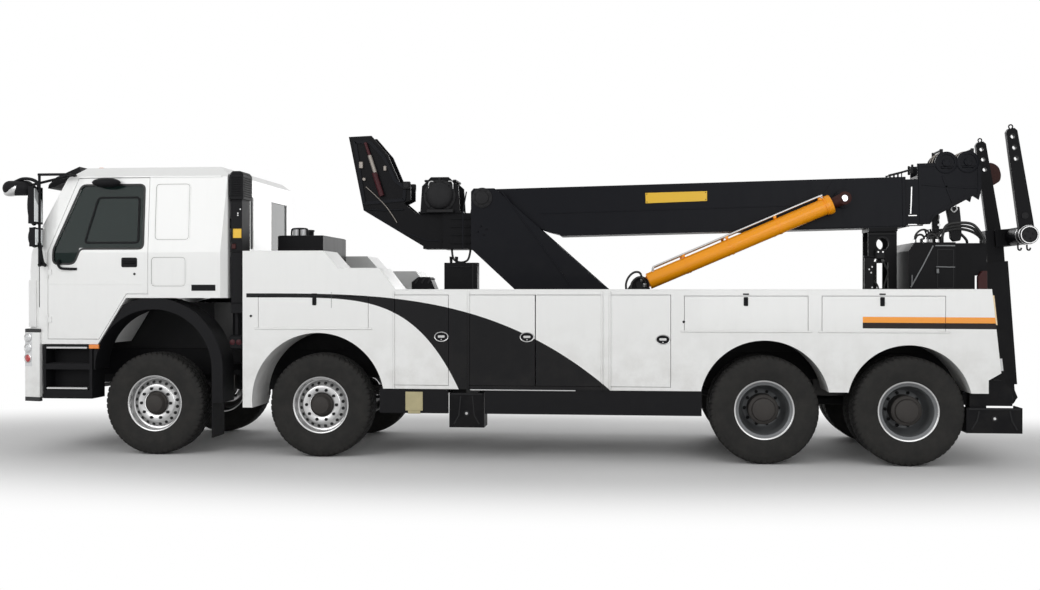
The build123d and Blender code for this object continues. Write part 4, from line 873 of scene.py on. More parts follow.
def front_wheel(n, side, sign):
    """One tyre, its bowed rim, the hub, ten nuts and twenty vents as discs of painted shade."""
    body = f"wheel_{n}_{side}"
    centre = np.array([middle_x(body), AXLE_Y[n - 1], HUB_Z])
    tyre = tyre_piece(f"tyre_{n}_{side}", centre, body)
    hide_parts(body)
    rim = turned(facing_side(FRONT_RIM, sign), centre)
    piece(f"rim_{n}_{side}", rim, body, bright_steel)
    hub = turned(facing_side(hub_line(0.150, 0.128), sign), centre)
    piece(f"hub_{n}_{side}", hub, body, hub_brown)
    nuts = nut_ring(centre, sign, 0.0885, 0.160, 0.022)
    piece(f"nuts_{n}_{side}", nuts, body, dark_cast, smooth=False)
    # The vents are dark discs: painted shade for the dark seen through the rim's holes.
    vents = vent_shade_ring(centre, sign, 0.0685, 0.226, 0.0180)
    piece(f"vents_{n}_{side}", vents, body, hose_rubber)


def rear_wheel(n, side, sign):
    """Two tyres with dished rims that look away from each other, and the hub in the outer one."""
    body = f"wheel_{n}_{side}"
    for place, look in (("outer", sign), ("inner", -sign)):
        centre = np.array([middle_x(body) + look * TWIN_OFFSET, AXLE_Y[n - 1], HUB_Z])
        tyre = tyre_piece(f"tyre_{n}_{place}_{side}", centre, body)
        rim = turned(facing_side(REAR_RIM, look), centre)
        # The rear rim's dark grey is partly painted shade: its own grey is lighter, darkened here
        # for the deep dish.
        piece(f"rim_{n}_{place}_{side}", rim, body, grey_rim)
        lip = turned(facing_side(BRIGHT_LIP, look), centre)
        piece(f"flange_{n}_{place}_{side}", lip, body, bright_steel)
        if place == "outer":
            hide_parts(body)
            hub = turned(facing_side(hub_line(0.085, 0.150), sign), centre)
            piece(f"hub_{n}_{side}", hub, body, hub_brown)
            nuts = nut_ring(centre, sign, -0.1495, 0.172, 0.024)
            piece(f"nuts_{n}_{side}", nuts, body, dark_cast, smooth=False)


for side, sign in (("left", 1), ("right", -1)):
    for n in (1, 2):
        front_wheel(n, side, sign)
    for n in (3, 4):
        rear_wheel(n, side, sign)
print("wheels dressed")

# %% [markdown]
# ## The cab
# The cab's side is upright up to the belt line and leans in above it. Whatever lies on the side is
# drawn flat and then leaned with the same slope. Door handles, seals and mirror glass ride on the
# doors or on the cab, whichever really carries them.

# %% Seals, seams and pressings on the cab's side
CAB_X = 1.200
BELT_Z = 2.140
LEAN = 0.075


def leaned(shape):
    """Moves points above the belt line inwards by LEAN times their height over it."""
    points, faces = shape
    points = points.copy()
    points[:, 0] -= np.maximum(points[:, 2] - BELT_Z, 0) * LEAN
    return points, faces


def side_strip(corners, width, out):
    """A flat strip of even width along a side-view line, standing proud of the cab's skin."""
    return ribbon(corners, width, CAB_X - 0.002, CAB_X + out, min(0.0015, width / 5))


WINDOW = [(-1.085, 2.030), (-1.085, 2.170), (-0.790, 2.850), (-0.110, 2.850), (-0.110, 2.190),
          (-0.800, 2.190), (-0.870, 2.030)]
INNER_PANE = [(-0.765, 2.235), (-0.620, 2.735), (-0.150, 2.735), (-0.150, 2.235)]
seal = leaned(band(rounded(stations(WINDOW), 0.045), -0.020, CAB_X - 0.016, CAB_X + 0.003))
pane_frame = leaned(band(rounded(stations(INNER_PANE), 0.05), 0.020, CAB_X - 0.018, CAB_X - 0.006))
for side, fit in (("left", lambda shape: shape), ("right", mirrored)):
    door = f"cab_door_{side}"
    piece(f"window_seal_{side}", fit(seal), door, hose_rubber)
    piece(f"pane_frame_{side}", fit(pane_frame), door, plastic)

pressings = []
lines = []
for s0, s1, z0, z1 in ((0.015, 0.407, 2.262, 2.875), (-0.020, 0.374, 1.772, 2.100)):
    ring = rounded(stations([(s0, z0), (s0, z1), (s1, z1), (s1, z0)]), 0.055, 6)
    pressings.append(leaned(band(ring, 0.010, CAB_X - 0.002, CAB_X + 0.004)))
    pressings.append(leaned(band(inset(ring, 0.024), 0.005, CAB_X - 0.002, CAB_X + 0.002)))
    lines.append(leaned(band(inset(ring, 0.010), 0.006, CAB_X - 0.002, CAB_X + 0.001)))
pressings.append(leaned(side_strip([(-0.940, 2.945), (0.000, 2.945), (0.740, 2.940)], 0.016,
                                   0.012)))
pressings.append(side_strip([(-0.030, 1.803), (0.100, 1.803), (0.740, 1.801)], 0.006, 0.002))
pair("cab_pressings", join(pressings), "chassis", white_paint)
shadow_line = plain("shadow_line", (0.36, 0.36, 0.35), 0.6, 200.0, 0.0002, 0.2)
pair("pressing_lines", join(lines), "chassis", shadow_line)
pair("door_crease", side_strip([(-1.145, 1.806), (-0.700, 1.803), (-0.056, 1.803)], 0.009, 0.003),
     "cab_door_{side}", white_paint)
print("cab side pressed and sealed")

# %% [markdown]
# Each door has a recessed handle, a lock, a pull under its window and a mirror that looks down at
# the kerb. The steps below have bright edges and ribbed treads. The dark plate behind the door is
# blank.

# %% Handles, plates and steps


def oval(centre, half, rings=14, segments=28):
    """A smooth egg, with t from pole to pole and p round them.

    Point = centre + half * (sin t cos p, cos t, sin t sin p)."""
    t = np.linspace(0.0005, np.pi - 0.0005, rings)[:, None]
    p = np.linspace(0, 2 * np.pi, segments, endpoint=False)
    ball = np.stack([np.sin(t) * np.cos(p), np.cos(t) + 0 * p, np.sin(t) * np.sin(p)], -1)
    caps = [np.arange(segments), np.arange(segments) + (len(t) - 1) * segments]
    faces = [*grid_faces(len(t), segments, loop_columns=True), *caps]
    return ball.reshape(-1, 3) * np.asarray(half) + np.asarray(centre), faces


def turned_up(shape, lift, about):
    """Turns a shape about X by an angle in degrees round a (Y, Z) point."""
    points, faces = shape
    a = math.radians(lift)
    y, z = points[:, 1] - about[0], points[:, 2] - about[1]
    new_y = about[0] + y * math.cos(a) - z * math.sin(a)
    new_z = about[1] + y * math.sin(a) + z * math.cos(a)
    return np.stack([points[:, 0], new_y, new_z], 1), faces


handle_ring = rounded(stations([(-0.337, 1.984), (-0.337, 2.086), (-0.165, 2.086),
                                (-0.165, 1.984)]), 0.020)
handle = join([prism(handle_ring, CAB_X - 0.004, CAB_X + 0.006),
               prism(inset(handle_ring, 0.012), CAB_X + 0.004, CAB_X + 0.008),
               brick(at(CAB_X + 0.006, -0.320, 2.024), at(CAB_X + 0.026, -0.182, 2.050), 0.008)])
pair("door_handle", handle, "cab_door_{side}", plastic)
pair("door_lock", disc(at(CAB_X - 0.002, -0.194, 1.912), 0.013, 0.007), "cab_door_{side}",
     dark_cast)
pull = bent([(CAB_X - 0.002, -1.030, 2.058), (CAB_X + 0.026, -1.030, 2.030),
             (CAB_X + 0.028, -1.000, 1.978), (CAB_X + 0.024, -0.920, 1.968),
             (CAB_X - 0.002, -0.830, 1.966)], 8, 0.014)
pair("door_pull", pull, "cab_door_{side}", plastic)
kerb_mirror = join([oval(at(1.205, -0.500, 2.880), (0.080, 0.155, 0.050)),
                    tube([at(1.150, -0.42, 2.895), at(1.205, -0.42, 2.885)], 0.014),
                    tube([at(1.150, -0.58, 2.895), at(1.205, -0.58, 2.885)], 0.014)])
pair("kerb_mirror", kerb_mirror, "cab_door_{side}", plastic)
plate_ring = stations([(0.429, 1.735), (0.429, 1.799), (0.689, 1.799), (0.689, 1.735)])
pair("blank_plate", prism(plate_ring, CAB_X - 0.002, CAB_X + 0.004), "chassis", plastic)

STEP_X = 1.195
treads = [brick(at(STEP_X - 0.050, -1.172, z - 0.012), at(STEP_X + 0.004, -0.720, z + 0.012),
                0.004) for z in (1.131, 0.700)]
pair("step_edges", join(treads), "chassis", bright_steel)
step_ribs = [brick(at(1.02 + 0.028 * n, -1.172, z), at(1.030 + 0.028 * n, -0.705, z + 0.008),
                   0.002) for n in range(5) for z in (0.679, 0.959)]
pair("step_ribs", join(step_ribs), "chassis", dark_cast)
pair("side_marker", brick(at(1.190, -0.694, 1.120), at(1.216, -0.584, 1.168), 0.006), "chassis",
     amber_lens)
print("handles and steps fitted")

# %% [markdown]
# Each side has a tall mirror over a small wide one, each in its own shell, and a bright egg-shaped
# one that looks down in front of the nose. Their arms are bent tubes.

# %% Mirrors
glasses = join([brick(at(1.230, -1.201, 2.458), at(1.400, -1.194, 2.812), 0.003),
                brick(at(1.230, -1.201, 2.215), at(1.380, -1.194, 2.385), 0.003)])
pair("mirror_glass", glasses, "chassis", mirror_glass)
shells = join([oval(at(1.315, -1.245, 2.635), (0.104, 0.050, 0.215)),
               oval(at(1.305, -1.245, 2.300), (0.096, 0.050, 0.110))])
pair("mirror_shells", shells, "chassis", plastic)
down_mirror = turned_up(oval(at(1.200, -1.492, 2.824), (0.082, 0.158, 0.066)), 20,
                        (along(-1.492), 2.824))
pair("down_mirror", down_mirror, "chassis", bright_steel)
down_arm = bent([(1.200, -1.530, 2.892), (1.225, -1.420, 2.925), (1.262, -1.300, 2.915),
                 (1.292, -1.215, 2.870), (1.296, -1.196, 2.780)], 8, 0.018)
pair("down_mirror_arm", down_arm, "chassis", plastic)
low_arm = bent([(1.296, -1.196, 2.240), (1.296, -1.180, 2.120), (1.262, -1.176, 2.030),
                (1.190, -1.186, 2.006)], 8, 0.020)
pair("low_mirror_arm", low_arm, "chassis", plastic)
print("mirrors fitted")

# %% [markdown]
# The nose shows from the front and the corners. The bumper is white with a dark lid and lip, and
# the grille has bright slats in front of dark uprights.

# %% Nose and bumper
LID_Z = 1.292
LID_X = 0.9
LIP_Z = 0.605
BUMPER_BLACK = (0.014, 0.014, 0.015)


def bumper_paint():
    """White paint with a dark lid over the corner lamps and a dark lower lip."""
    made = Finish("bumper_paint", Coat_Roughness=0.08)
    x, y, z = made.axes()
    film = dusty(made, 0.5, 1.3) * 0.30
    dark = ((z > LID_Z) * (abs(x) > LID_X)).most(z < LIP_Z)
    made.feed(
        Base_Color=made.blend(dark, made.blend(film, WHITE, ROAD_DUST), BUMPER_BLACK),
        Roughness=0.28 + dark * 0.25 + film * 0.3,
        Normal=orange_peel(made))
    return made


finish_node("front_bumper", bumper_paint())
NOSE_S = -1.450
slats = [brick(at(-0.690, -1.476, low + 0.022), at(0.690, -1.466, low + 0.036), 0.003)
         for low in (1.390, 1.490, 1.590, 1.690, 1.790, 1.890)]
piece("grille_slats", join(slats), "chassis", bright_steel)
uprights = [brick(at(x - 0.006, -1.470, 1.385), at(x + 0.006, -1.462, 1.955), 0.002)
            for x in np.linspace(-0.64, 0.64, 17)]
piece("grille_uprights", join(uprights), "chassis", plastic)
print("bumper and grille dressed")

# %% [markdown]
# A pair of wipers lies on the windscreen, and fine seams run round the front panel. Points on the
# screen are given by how far they lie up its slope.

# %% Wipers and seams
SCREEN_SLOPE = (0.790, 0.410)


def on_screen(x, up, out=0.012):
    """A point on the windscreen: x, metres up its slope from the belt line, and out of it."""
    rise = np.array(SCREEN_SLOPE) / math.hypot(*SCREEN_SLOPE)
    return (x, along(-1.370 + up * rise[1] - out * rise[0]), BELT_Z + up * rise[0] + out * rise[1])


wipers = []
for x0, x1 in ((-0.95, -0.30), (-0.10, 0.55)):
    wipers.append(tube([on_screen(x0, 0.030, 0.030), on_screen(x0 + 0.10, 0.120, 0.035),
                        on_screen(x1, 0.200, 0.028)], [0.014, 0.010, 0.006]))
    wipers.append(tube([on_screen(x1 - 0.33, 0.105, 0.012), on_screen(x1 + 0.30, 0.250, 0.012)],
                       0.007, 6))
piece("wipers", join(wipers), "chassis", plastic)
front_seams = [brick(at(-1.080, -1.376, 2.128), at(1.080, -1.366, 2.136), 0.002),
               brick(at(-0.900, NOSE_S - 0.003, 1.318), at(0.900, NOSE_S + 0.003, 1.324), 0.001)]
piece("nose_seams", join(front_seams), "chassis", plastic)
corner_seam = brick(at(1.1985, -1.252, 1.560), at(1.2010, -1.244, 2.135), 0.0008)
pair("corner_seam", corner_seam, "chassis", plastic)
print("wipers and seams in place")

# %% [markdown]
# Three lamps are stacked in each corner of the bumper, a small one that looks sideways and a larger
# one that looks forwards at each height. The lowest pair is red.

# %% Lamps in the bumper
CORNER_OUT = np.array([0.967, -0.254, 0.0])
FRONT_OUT = np.array([0.117, -0.993, 0.0])
lens = []
for n, z in enumerate((1.235, 1.125, 1.015)):
    for out, spot, radius in ((CORNER_OUT, (1.190, -1.383), 0.040),
                              (FRONT_OUT, (1.085, -1.432), 0.048)):
        place = np.array([spot[0], along(spot[1]), z]) - out * 0.004
        lens.append((lathe([(0, radius + 0.008), (0.010, radius + 0.008), (0.013, radius + 0.002),
                            (0.006, radius - 0.004), (0.006, 0.0004)], place, 28, out), "ring"))
        cover = lathe([(0.004, radius), (0.012, radius * 0.8), (0.016, radius * 0.4),
                       (0.017, 0.0004)], place, 28, out)
        lens.append((cover, "amber" if n == 2 else "clear"))
for kind, finish in (("ring", bright_steel), ("clear", lamp_glass), ("amber", red_lens)):
    pair(f"head_lamp_{kind}", join([shape for shape, of in lens if of == kind]), "chassis", finish)
print(len(lens), "lamp parts a side")

# %% [markdown]
# ## The side lockers
# Flap doors hinge at their lower edge and have a drop-down latch at the top. The tall doors have an
# oval paddle latch at half height. A latch rides on its own door.

# %% Latches on the locker doors
BODY_X = 1.250
OVAL_SIDES = 40


def oval_ring(s, z, along_half, up_half, outline):
    """A ring about an oval; outline lists (step in from the oval's edge, height off the body)."""
    t = np.linspace(0, 2 * np.pi, OVAL_SIDES, endpoint=False)
    rows = []
    for step, up in outline:
        y = along(s) + (along_half - step) * np.cos(t)
        rows.append(np.stack([t * 0 + BODY_X + up, y, z + (up_half - step) * np.sin(t)], 1))
    return np.concatenate(rows), grid_faces(len(outline), OVAL_SIDES, loop_columns=True)[:, ::-1]


def paddle_rim(s, z):
    """The bright rim of an oval latch with its paddle and lock barrel."""
    lip = [(0.0, -0.001), (0.0, 0.006), (0.004, 0.010), (0.009, 0.008), (0.010, -0.001)]
    rim = oval_ring(s, z, 0.074, 0.052, lip)
    leaf = [(s - 0.036, z - 0.010), (s - 0.036, z + 0.014), (s + 0.036, z + 0.014),
            (s + 0.036, z - 0.010)]
    paddle = prism(rounded(stations(leaf), 0.010), BODY_X + 0.003, BODY_X + 0.012)
    return join([rim, paddle, disc(at(BODY_X + 0.002, s, z - 0.027), 0.007, 0.006)])


def paddle_dish(s, z):
    """The dark dish inside the latch's rim."""
    return oval_ring(s, z, 0.066, 0.044, [(0.0, 0.004), (0.010, 0.003), (0.0436, 0.002)])


def drop_latch(s, z):
    """A small black plate with a hanging ring handle and its hinge."""
    back = [(s - 0.022, z - 0.045), (s - 0.022, z + 0.045), (s + 0.022, z + 0.045),
            (s + 0.022, z - 0.045)]
    plate = prism(rounded(stations(back), 0.010), BODY_X - 0.001, BODY_X + 0.005)
    drop = bent([(BODY_X + 0.008, s - 0.014, z + 0.012), (BODY_X + 0.010, s - 0.014, z - 0.022),
                 (BODY_X + 0.011, s, z - 0.036), (BODY_X + 0.010, s + 0.014, z - 0.022),
                 (BODY_X + 0.008, s + 0.014, z + 0.012)], 5, 0.0045, 8)
    hinge = brick(at(BODY_X + 0.003, s - 0.020, z + 0.008),
                  at(BODY_X + 0.013, s + 0.020, z + 0.024), 0.004)
    return join([plate, drop, hinge])


for leaf, s, z in (("two", 3.095, 1.265), ("three", 3.975, 1.265), ("five", 5.345, 1.245)):
    pair(f"paddle_latch_{leaf}", paddle_rim(s, z), f"locker_door_{leaf}_{{side}}", bright_steel)
    pair(f"paddle_dish_{leaf}", paddle_dish(s, z), f"locker_door_{leaf}_{{side}}", plastic)
for leaf, s, z in (("one", 1.765, 1.630), ("six", 6.165, 1.628), ("seven", 7.490, 1.628)):
    pair(f"drop_latch_{leaf}", drop_latch(s, z), f"locker_door_{leaf}_{{side}}", plastic)
    keeper = brick(at(BODY_X - 0.002, s - 0.030, 1.694), at(BODY_X + 0.008, s + 0.030, 1.708),
                   0.003)
    pair(f"latch_keeper_{leaf}", keeper, "chassis", plastic)
print("latches fitted")

# %% [markdown]
# ## The lifting gear
# The boom is a folded box with a lengthwise fold and a doubler plate at its mouth. It carries a
# blank yellow plate on each side and a small rack on top. A round cover with bolts hides its pivot
# on each column plate.

# %% Boom and column
PIVOT = (3.385, 2.760)
TILT = math.radians(1.2)


def on_boom(d, up):
    """A side-view point given along and above the boom's line, as a station and a height."""
    return (PIVOT[0] + d * math.cos(TILT) - up * math.sin(TILT),
            PIVOT[1] + d * math.sin(TILT) + up * math.cos(TILT))


BOOM_X = 0.200
COLUMN_X = 0.284
doubler = prism(stations([on_boom(3.42, -0.425), on_boom(3.80, 0.088), on_boom(4.548, 0.088),
                          on_boom(4.548, -0.425)]), BOOM_X - 0.001, BOOM_X + 0.007)
fold = raised([on_boom(0.62, -0.185), on_boom(2.20, -0.180), on_boom(3.55, -0.176)], 0.012, BOOM_X,
              0.004)
mouth = ribbon([on_boom(4.535, -0.430), on_boom(4.535, -0.150), on_boom(4.535, 0.092)], 0.030,
               BOOM_X + 0.005, BOOM_X + 0.014)
pair("boom_plates", join([doubler, fold, mouth]), "boom", boom_black)
label_ring = stations([(5.178, 2.692), (5.174, 2.806), (5.842, 2.820), (5.842, 2.713)])
pair("boom_label", prism(label_ring, BOOM_X - 0.001, BOOM_X + 0.003, 0.001), "boom", yellow_plate)
studs = [disc(at(BOOM_X + 0.002, s, z), 0.006, 0.003, segments=12)
         for s, z in ((5.192, 2.706), (5.190, 2.793), (5.828, 2.727), (5.828, 2.806))]
pair("boom_label_studs", join(studs), "boom", dark_cast)

rack = [ribbon([(7.790, 2.985), (7.920, 3.016), (8.040, 3.050)], 0.016, x, x + 0.012, 0.002)
        for x in (0.075, -0.087)]
for s, top in ((7.800, 2.985), (7.842, 2.996), (7.884, 3.006), (7.926, 3.016)):
    rack += [tube([at(x, s, 2.945), at(x, s, top)], 0.006, 6) for x in (0.081, -0.081)]
rack.append(brick(at(-0.095, 7.770, 2.948), at(0.095, 7.935, 2.958), 0.003))
rack += [brick(at(x - 0.007, 8.026, 3.000), at(x + 0.007, 8.050, 3.098), 0.004)
         for x in (0.081, -0.081)]
rack.append(tube([at(-0.085, 8.038, 3.048), at(0.085, 8.038, 3.048)], 0.008, 10))
piece("boom_rack", join(rack), "boom", dark_cast)

cover = [lathe([(0.0, 0.112), (0.010, 0.112), (0.014, 0.106), (0.014, 0.074), (0.026, 0.070),
                (0.030, 0.058), (0.030, 0.0004)], at(0.285, *PIVOT), 48)]
cover += bolt_ring(*PIVOT, 0.298, 0.091, 8, 0.010)
pair("pivot_cover", join(cover), "chassis", dark_cast)
gussets = [
    ribbon([(3.60, 2.830), (4.02, 2.260), (4.36, 1.790)], 0.016, COLUMN_X, COLUMN_X + 0.008),
    ribbon([(3.17, 2.20), (3.17, 2.60), (3.21, 2.830)], 0.014, COLUMN_X, COLUMN_X + 0.006),
]
gussets += bolt_ring(PIVOT[0], 2.400, COLUMN_X, 0.050, 4, 0.011)
pair("column_plates", join(gussets), "chassis", boom_black)
print("boom and column dressed")

# %% [markdown]
# The cranked arm in front of the winch is an open frame: a folded rim round each side plate, a dark
# red ram with bright fittings between them, and a thin steel pipe that runs down to the valve.

# %% Cranked arm
ARM_X = 0.150
ARM = [(2.010, 2.700), (1.900, 3.430), (2.100, 3.430), (2.270, 3.250), (2.400, 2.980),
       (2.510, 2.900), (2.500, 2.740)]
arm_rim = band(rounded(stations(ARM), 0.03), 0.038, ARM_X - 0.001, ARM_X + 0.012)
shelf = raised([(2.030, 2.655), (2.260, 2.640), (2.480, 2.650)], 0.014, ARM_X, 0.016)
spine = raised([(2.120, 2.600), (2.400, 2.430), (2.740, 2.300), (2.920, 2.290)], 0.016, ARM_X,
               0.008)
pair("arm_rim", join([arm_rim, shelf, spine]), "chassis", boom_black)
ram_red = plain("ram_red", (0.042, 0.007, 0.010), 0.40, 120.0, 0.0006, 0.5, Specular_IOR_Level=0.2)
ram = [tube([at(ARM_X + 0.026, 2.045, 3.400), at(ARM_X + 0.026, 2.110, 3.210)], 0.017, 16),
       tube([at(ARM_X + 0.030, 2.150, 3.060), at(ARM_X + 0.030, 2.235, 2.800)], 0.030, 20)]
pair("arm_ram", join(ram), "chassis", ram_red)
ram_tube = tube([at(ARM_X + 0.024, 2.094, 3.255), at(ARM_X + 0.024, 2.165, 3.040)], 0.024, 18)
pair("arm_ram_tube", ram_tube, "chassis", cable_steel)
fittings = [brick(at(ARM_X, 1.972, 3.110), at(ARM_X + 0.026, 2.018, 3.190), 0.006),
            brick(at(ARM_X, 2.250, 3.080), at(ARM_X + 0.022, 2.284, 3.140), 0.006),
            disc(at(ARM_X + 0.004, 2.030, 2.990), 0.018, 0.020)]
pair("arm_fittings", join(fittings), "chassis", cable_steel)
arm_pipe = bent([(ARM_X + 0.014, 2.050, 2.905), (ARM_X + 0.016, 2.150, 2.815),
                 (ARM_X + 0.016, 2.265, 2.700), (ARM_X + 0.014, 2.340, 2.600),
                 (ARM_X + 0.012, 2.405, 2.500)], 8, 0.006, 8)
pair("arm_pipe", arm_pipe, "chassis", cable_steel)
ears = [brick(at(ARM_X - 0.004, 2.470, 2.870), at(ARM_X + 0.030, 2.560, 2.960), 0.010),
        disc(at(ARM_X + 0.026, 2.515, 2.915), 0.030, 0.014)]
pair("arm_ears", join(ears), "chassis", dark_cast)
print("cranked arm dressed")

# %% [markdown]
# The winch drum is wound with wire rope. Outside each cheek sits a domed gearbox cover with a
# bolted flange, a foot plate and two lifting hoops in bright steel, which are painted highlights
# for the two bright arcs over the cover. Ties join the cheeks on top.

# %% Winch
WINCH = (2.900, 2.790)
CHEEK_X = 0.220
TURNS = 30
WOUND_R = 0.120
WOUND_HALF = 0.168
t = np.linspace(0, 2 * np.pi * TURNS, TURNS * 28)
winding_x = -WOUND_HALF + 2 * WOUND_HALF * t / t[-1]
winding = np.stack([winding_x, along(WINCH[0]) + WOUND_R * np.cos(t),
                    WINCH[1] + WOUND_R * np.sin(t)], 1)
piece("rope_winding", tube(winding, 0.0065, 6), "chassis", cable_steel)
dome = [lathe([(0.0, 0.180), (0.012, 0.180), (0.016, 0.174), (0.016, 0.150), (0.040, 0.146),
               (0.062, 0.128), (0.076, 0.092), (0.080, 0.050), (0.080, 0.0004)],
              at(CHEEK_X - 0.001, *WINCH), 56)]
dome += bolt_ring(*WINCH, CHEEK_X + 0.014, 0.163, 12, 0.010)
dome += [brick(at(CHEEK_X, 2.760, 2.602), at(CHEEK_X + 0.060, 3.060, 2.640), 0.006),
         brick(at(CHEEK_X, 2.885, 2.925), at(CHEEK_X + 0.020, 2.915, 2.992), 0.006)]
pair("winch_gear_cover", join(dome), "chassis", dark_cast)
# The hoops' bright steel is a painted highlight: it stands for the two highlight arcs over the
# cover.
highlight_hoops = [bent([(CHEEK_X + 0.010, s + a, 2.870), (CHEEK_X + 0.020, s + a, 2.925),
               (CHEEK_X + 0.020, s + b, 2.950), (CHEEK_X + 0.014, s + c, 2.950)], 6, 0.007, 8)
         for s, a, b, c in ((2.780, 0.0, 0.020, 0.050), (3.020, 0.030, 0.010, -0.020))]
pair("winch_highlight_hoops", join(highlight_hoops), "chassis", bright_steel)
top_bar = [tube([at(-0.200, 2.885, 2.985), at(0.200, 2.885, 2.985)], 0.018, 14),
           brick(at(-0.185, 2.720, 2.950), at(0.185, 2.760, 2.975), 0.006),
           brick(at(-0.185, 3.040, 2.950), at(0.185, 3.080, 2.975), 0.006)]
piece("winch_ties", join(top_bar), "chassis", dark_cast)
print("winch dressed")

# %% [markdown]
# Each lift cylinder carries a thin steel pipe that feeds its rod end. Three straps hold it, and it
# bends into a block at the gland. The gland nut is turned, and the rod's eye is a dark casting.

# %% Lift cylinders
LIFT_FOOT = np.array([5.120, 1.800])
LIFT_EYE = np.array([7.280, 2.720])
LIFT_RUN = (LIFT_EYE - LIFT_FOOT) / np.linalg.norm(LIFT_EYE - LIFT_FOOT)
LIFT_X = 0.310


def on_lift(d, up, x=LIFT_X):
    """A point along and above a cylinder's axis, measured from its foot pin."""
    s, z = LIFT_FOOT + d * LIFT_RUN + up * np.array([-LIFT_RUN[1], LIFT_RUN[0]])
    return np.array([x, along(s), z])


feed = tube(smooth_path([on_lift(0.180, 0.080, 0.345), on_lift(0.210, 0.118, 0.350),
                         on_lift(0.300, 0.124, 0.350), on_lift(1.200, 0.124, 0.350),
                         on_lift(2.060, 0.124, 0.350), on_lift(2.120, 0.112, 0.345),
                         on_lift(2.145, 0.078, 0.335)], 10), 0.010, 10)
pair("lift_pipe", feed, "lift_barrels", bright_steel)
straps = []
lift_axis = on_lift(1.0, 0.0) - on_lift(0.0, 0.0)
for d in (0.55, 1.05, 1.60):
    straps.append(lathe([(-0.012, 0.088), (-0.012, 0.0925), (0.012, 0.0925), (0.012, 0.088)],
                        on_lift(d, 0.0), 48, lift_axis))
    middle = on_lift(d, 0.110, 0.342)
    straps.append(brick(middle - [0.016, 0.016, 0.022], middle + [0.016, 0.016, 0.022], 0.005))
pair("lift_straps", join(straps), "lift_barrels", orange_paint)
gland = [lathe([(-0.050, 0.098), (-0.050, 0.1045), (-0.004, 0.1045), (0.006, 0.098), (0.006, 0.052),
                (0.0, 0.0505)], on_lift(2.200, 0.0), 40, lift_axis)]
gland.append(brick(on_lift(2.120, 0.100) - [0.030, 0.026, 0.028],
                   on_lift(2.120, 0.100) + [0.030, 0.026, 0.028], 0.008))
pair("lift_gland", join(gland), "lift_barrels", orange_paint)
eye_brown = plain("eye_brown", (0.030, 0.008, 0.006), 0.45, 120.0, 0.0012, 0.5,
                  Specular_IOR_Level=0.14)
eye = [lathe([(0.0, 0.068), (0.008, 0.070), (0.012, 0.064), (0.012, 0.034)], at(0.3545, *LIFT_EYE),
             36),
       lathe([(-0.050, 0.049), (-0.050, 0.056), (0.050, 0.064), (0.060, 0.056), (0.060, 0.049)],
             on_lift(2.262, 0.0), 32, lift_axis)]
pair("rod_eye", join(eye), "lift_rods", eye_brown)
pins = [disc(at(0.380, *LIFT_FOOT), 0.046, 0.012), *bolt_ring(*LIFT_FOOT, 0.391, 0.028, 3, 0.007)]
pair("foot_pin", join(pins), "chassis", dark_cast)
print("lift cylinders dressed")

# %% [markdown]
# The stage ends in a sheave head. Its cheeks have a folded rim and pin caps with locking bolts, a
# wire rope runs over each sheave, and guards keep it there.

# %% Boom head
STAGE_X = 0.174
SHEAVE_R = 0.117
CHEEK = [(4.700, -0.400), (4.700, 0.225), (5.300, 0.225), (5.335, 0.185), (5.335, -0.050),
         (5.315, -0.140), (5.255, -0.108), (5.010, -0.235), (4.865, -0.320), (4.815, -0.400)]
head = [band(stations([on_boom(d, up) for d, up in CHEEK]), 0.022, STAGE_X - 0.001,
             STAGE_X + 0.008),
        raised([on_boom(4.72, 0.02), on_boom(5.02, -0.02), on_boom(5.32, -0.04)], 0.020, STAGE_X,
               0.006),
        raised([on_boom(4.95, 0.10), on_boom(5.00, -0.06), on_boom(5.06, -0.22)], 0.020, STAGE_X,
               0.006)]
SHEAVES = [on_boom(4.990, 0.240), on_boom(5.215, 0.240)]
for s, z in SHEAVES:
    head.append(lathe([(0.0, SHEAVE_R), (0.010, SHEAVE_R), (0.012, 0.112), (0.012, 0.086),
                       (0.0, 0.084)], at(STAGE_X - 0.001, s, z), 48))
    head.append(disc(at(STAGE_X + 0.009, s, z), 0.042, 0.010))
    head += bolt_ring(s, z, STAGE_X + 0.018, 0.028, 3, 0.007)
    head.append(brick(at(STAGE_X, s - 0.055, z - 0.062), at(STAGE_X + 0.012, s + 0.055, z - 0.044),
                      0.004))
pair("head_cheeks", join(head), "boom_stage", boom_black)
welds = [raised([(7.974, 2.541), (8.020, 2.541), (8.066, 2.541)], 0.012, STAGE_X, 0.006),
         raised([(7.974, 2.445), (8.020, 2.445), (8.066, 2.445)], 0.012, STAGE_X, 0.006),
         raised([(8.000, 2.560), (8.006, 2.700), (8.010, 2.850)], 0.014, STAGE_X, 0.005)]
pair("stage_marks", join(welds), "boom_stage", bright_steel)
ropes = []
for s, z in SHEAVES:
    for x in (-0.060, 0.060):
        a = np.radians(np.linspace(10, 200, 26))
        arc = np.stack([a * 0 + x, along(s) + SHEAVE_R * np.cos(a), z + SHEAVE_R * np.sin(a)], 1)
        ropes.append(tube(arc, 0.009, 8))
        ropes.append(tube([arc[-1], arc[-1] - [0, 0.004, 0.20], arc[-1] - [0, 0.010, 0.42]], 0.009,
                          8))
piece("sheave_ropes", join(ropes), "boom_stage", cable_steel)
GUARDS = [(s + step, z) for (s, z), step in zip(SHEAVES, (-0.050, 0.045))]
guards = [tube([at(-0.172, s, z + 0.132), at(0.172, s, z + 0.132)], 0.011, 10) for s, z in GUARDS]
guards += [brick(at(x - 0.006, s - 0.018, z + 0.080), at(x + 0.006, s + 0.018, z + 0.146), 0.004)
           for s, z in GUARDS for x in (-0.168, 0.168)]
piece("rope_guards", join(guards), "boom_stage", dark_cast)
print("boom head dressed")

# %% [markdown]
# Two hooks hang under the head. They are forged bars with rounded corners, and small shackles join
# them to the ropes.

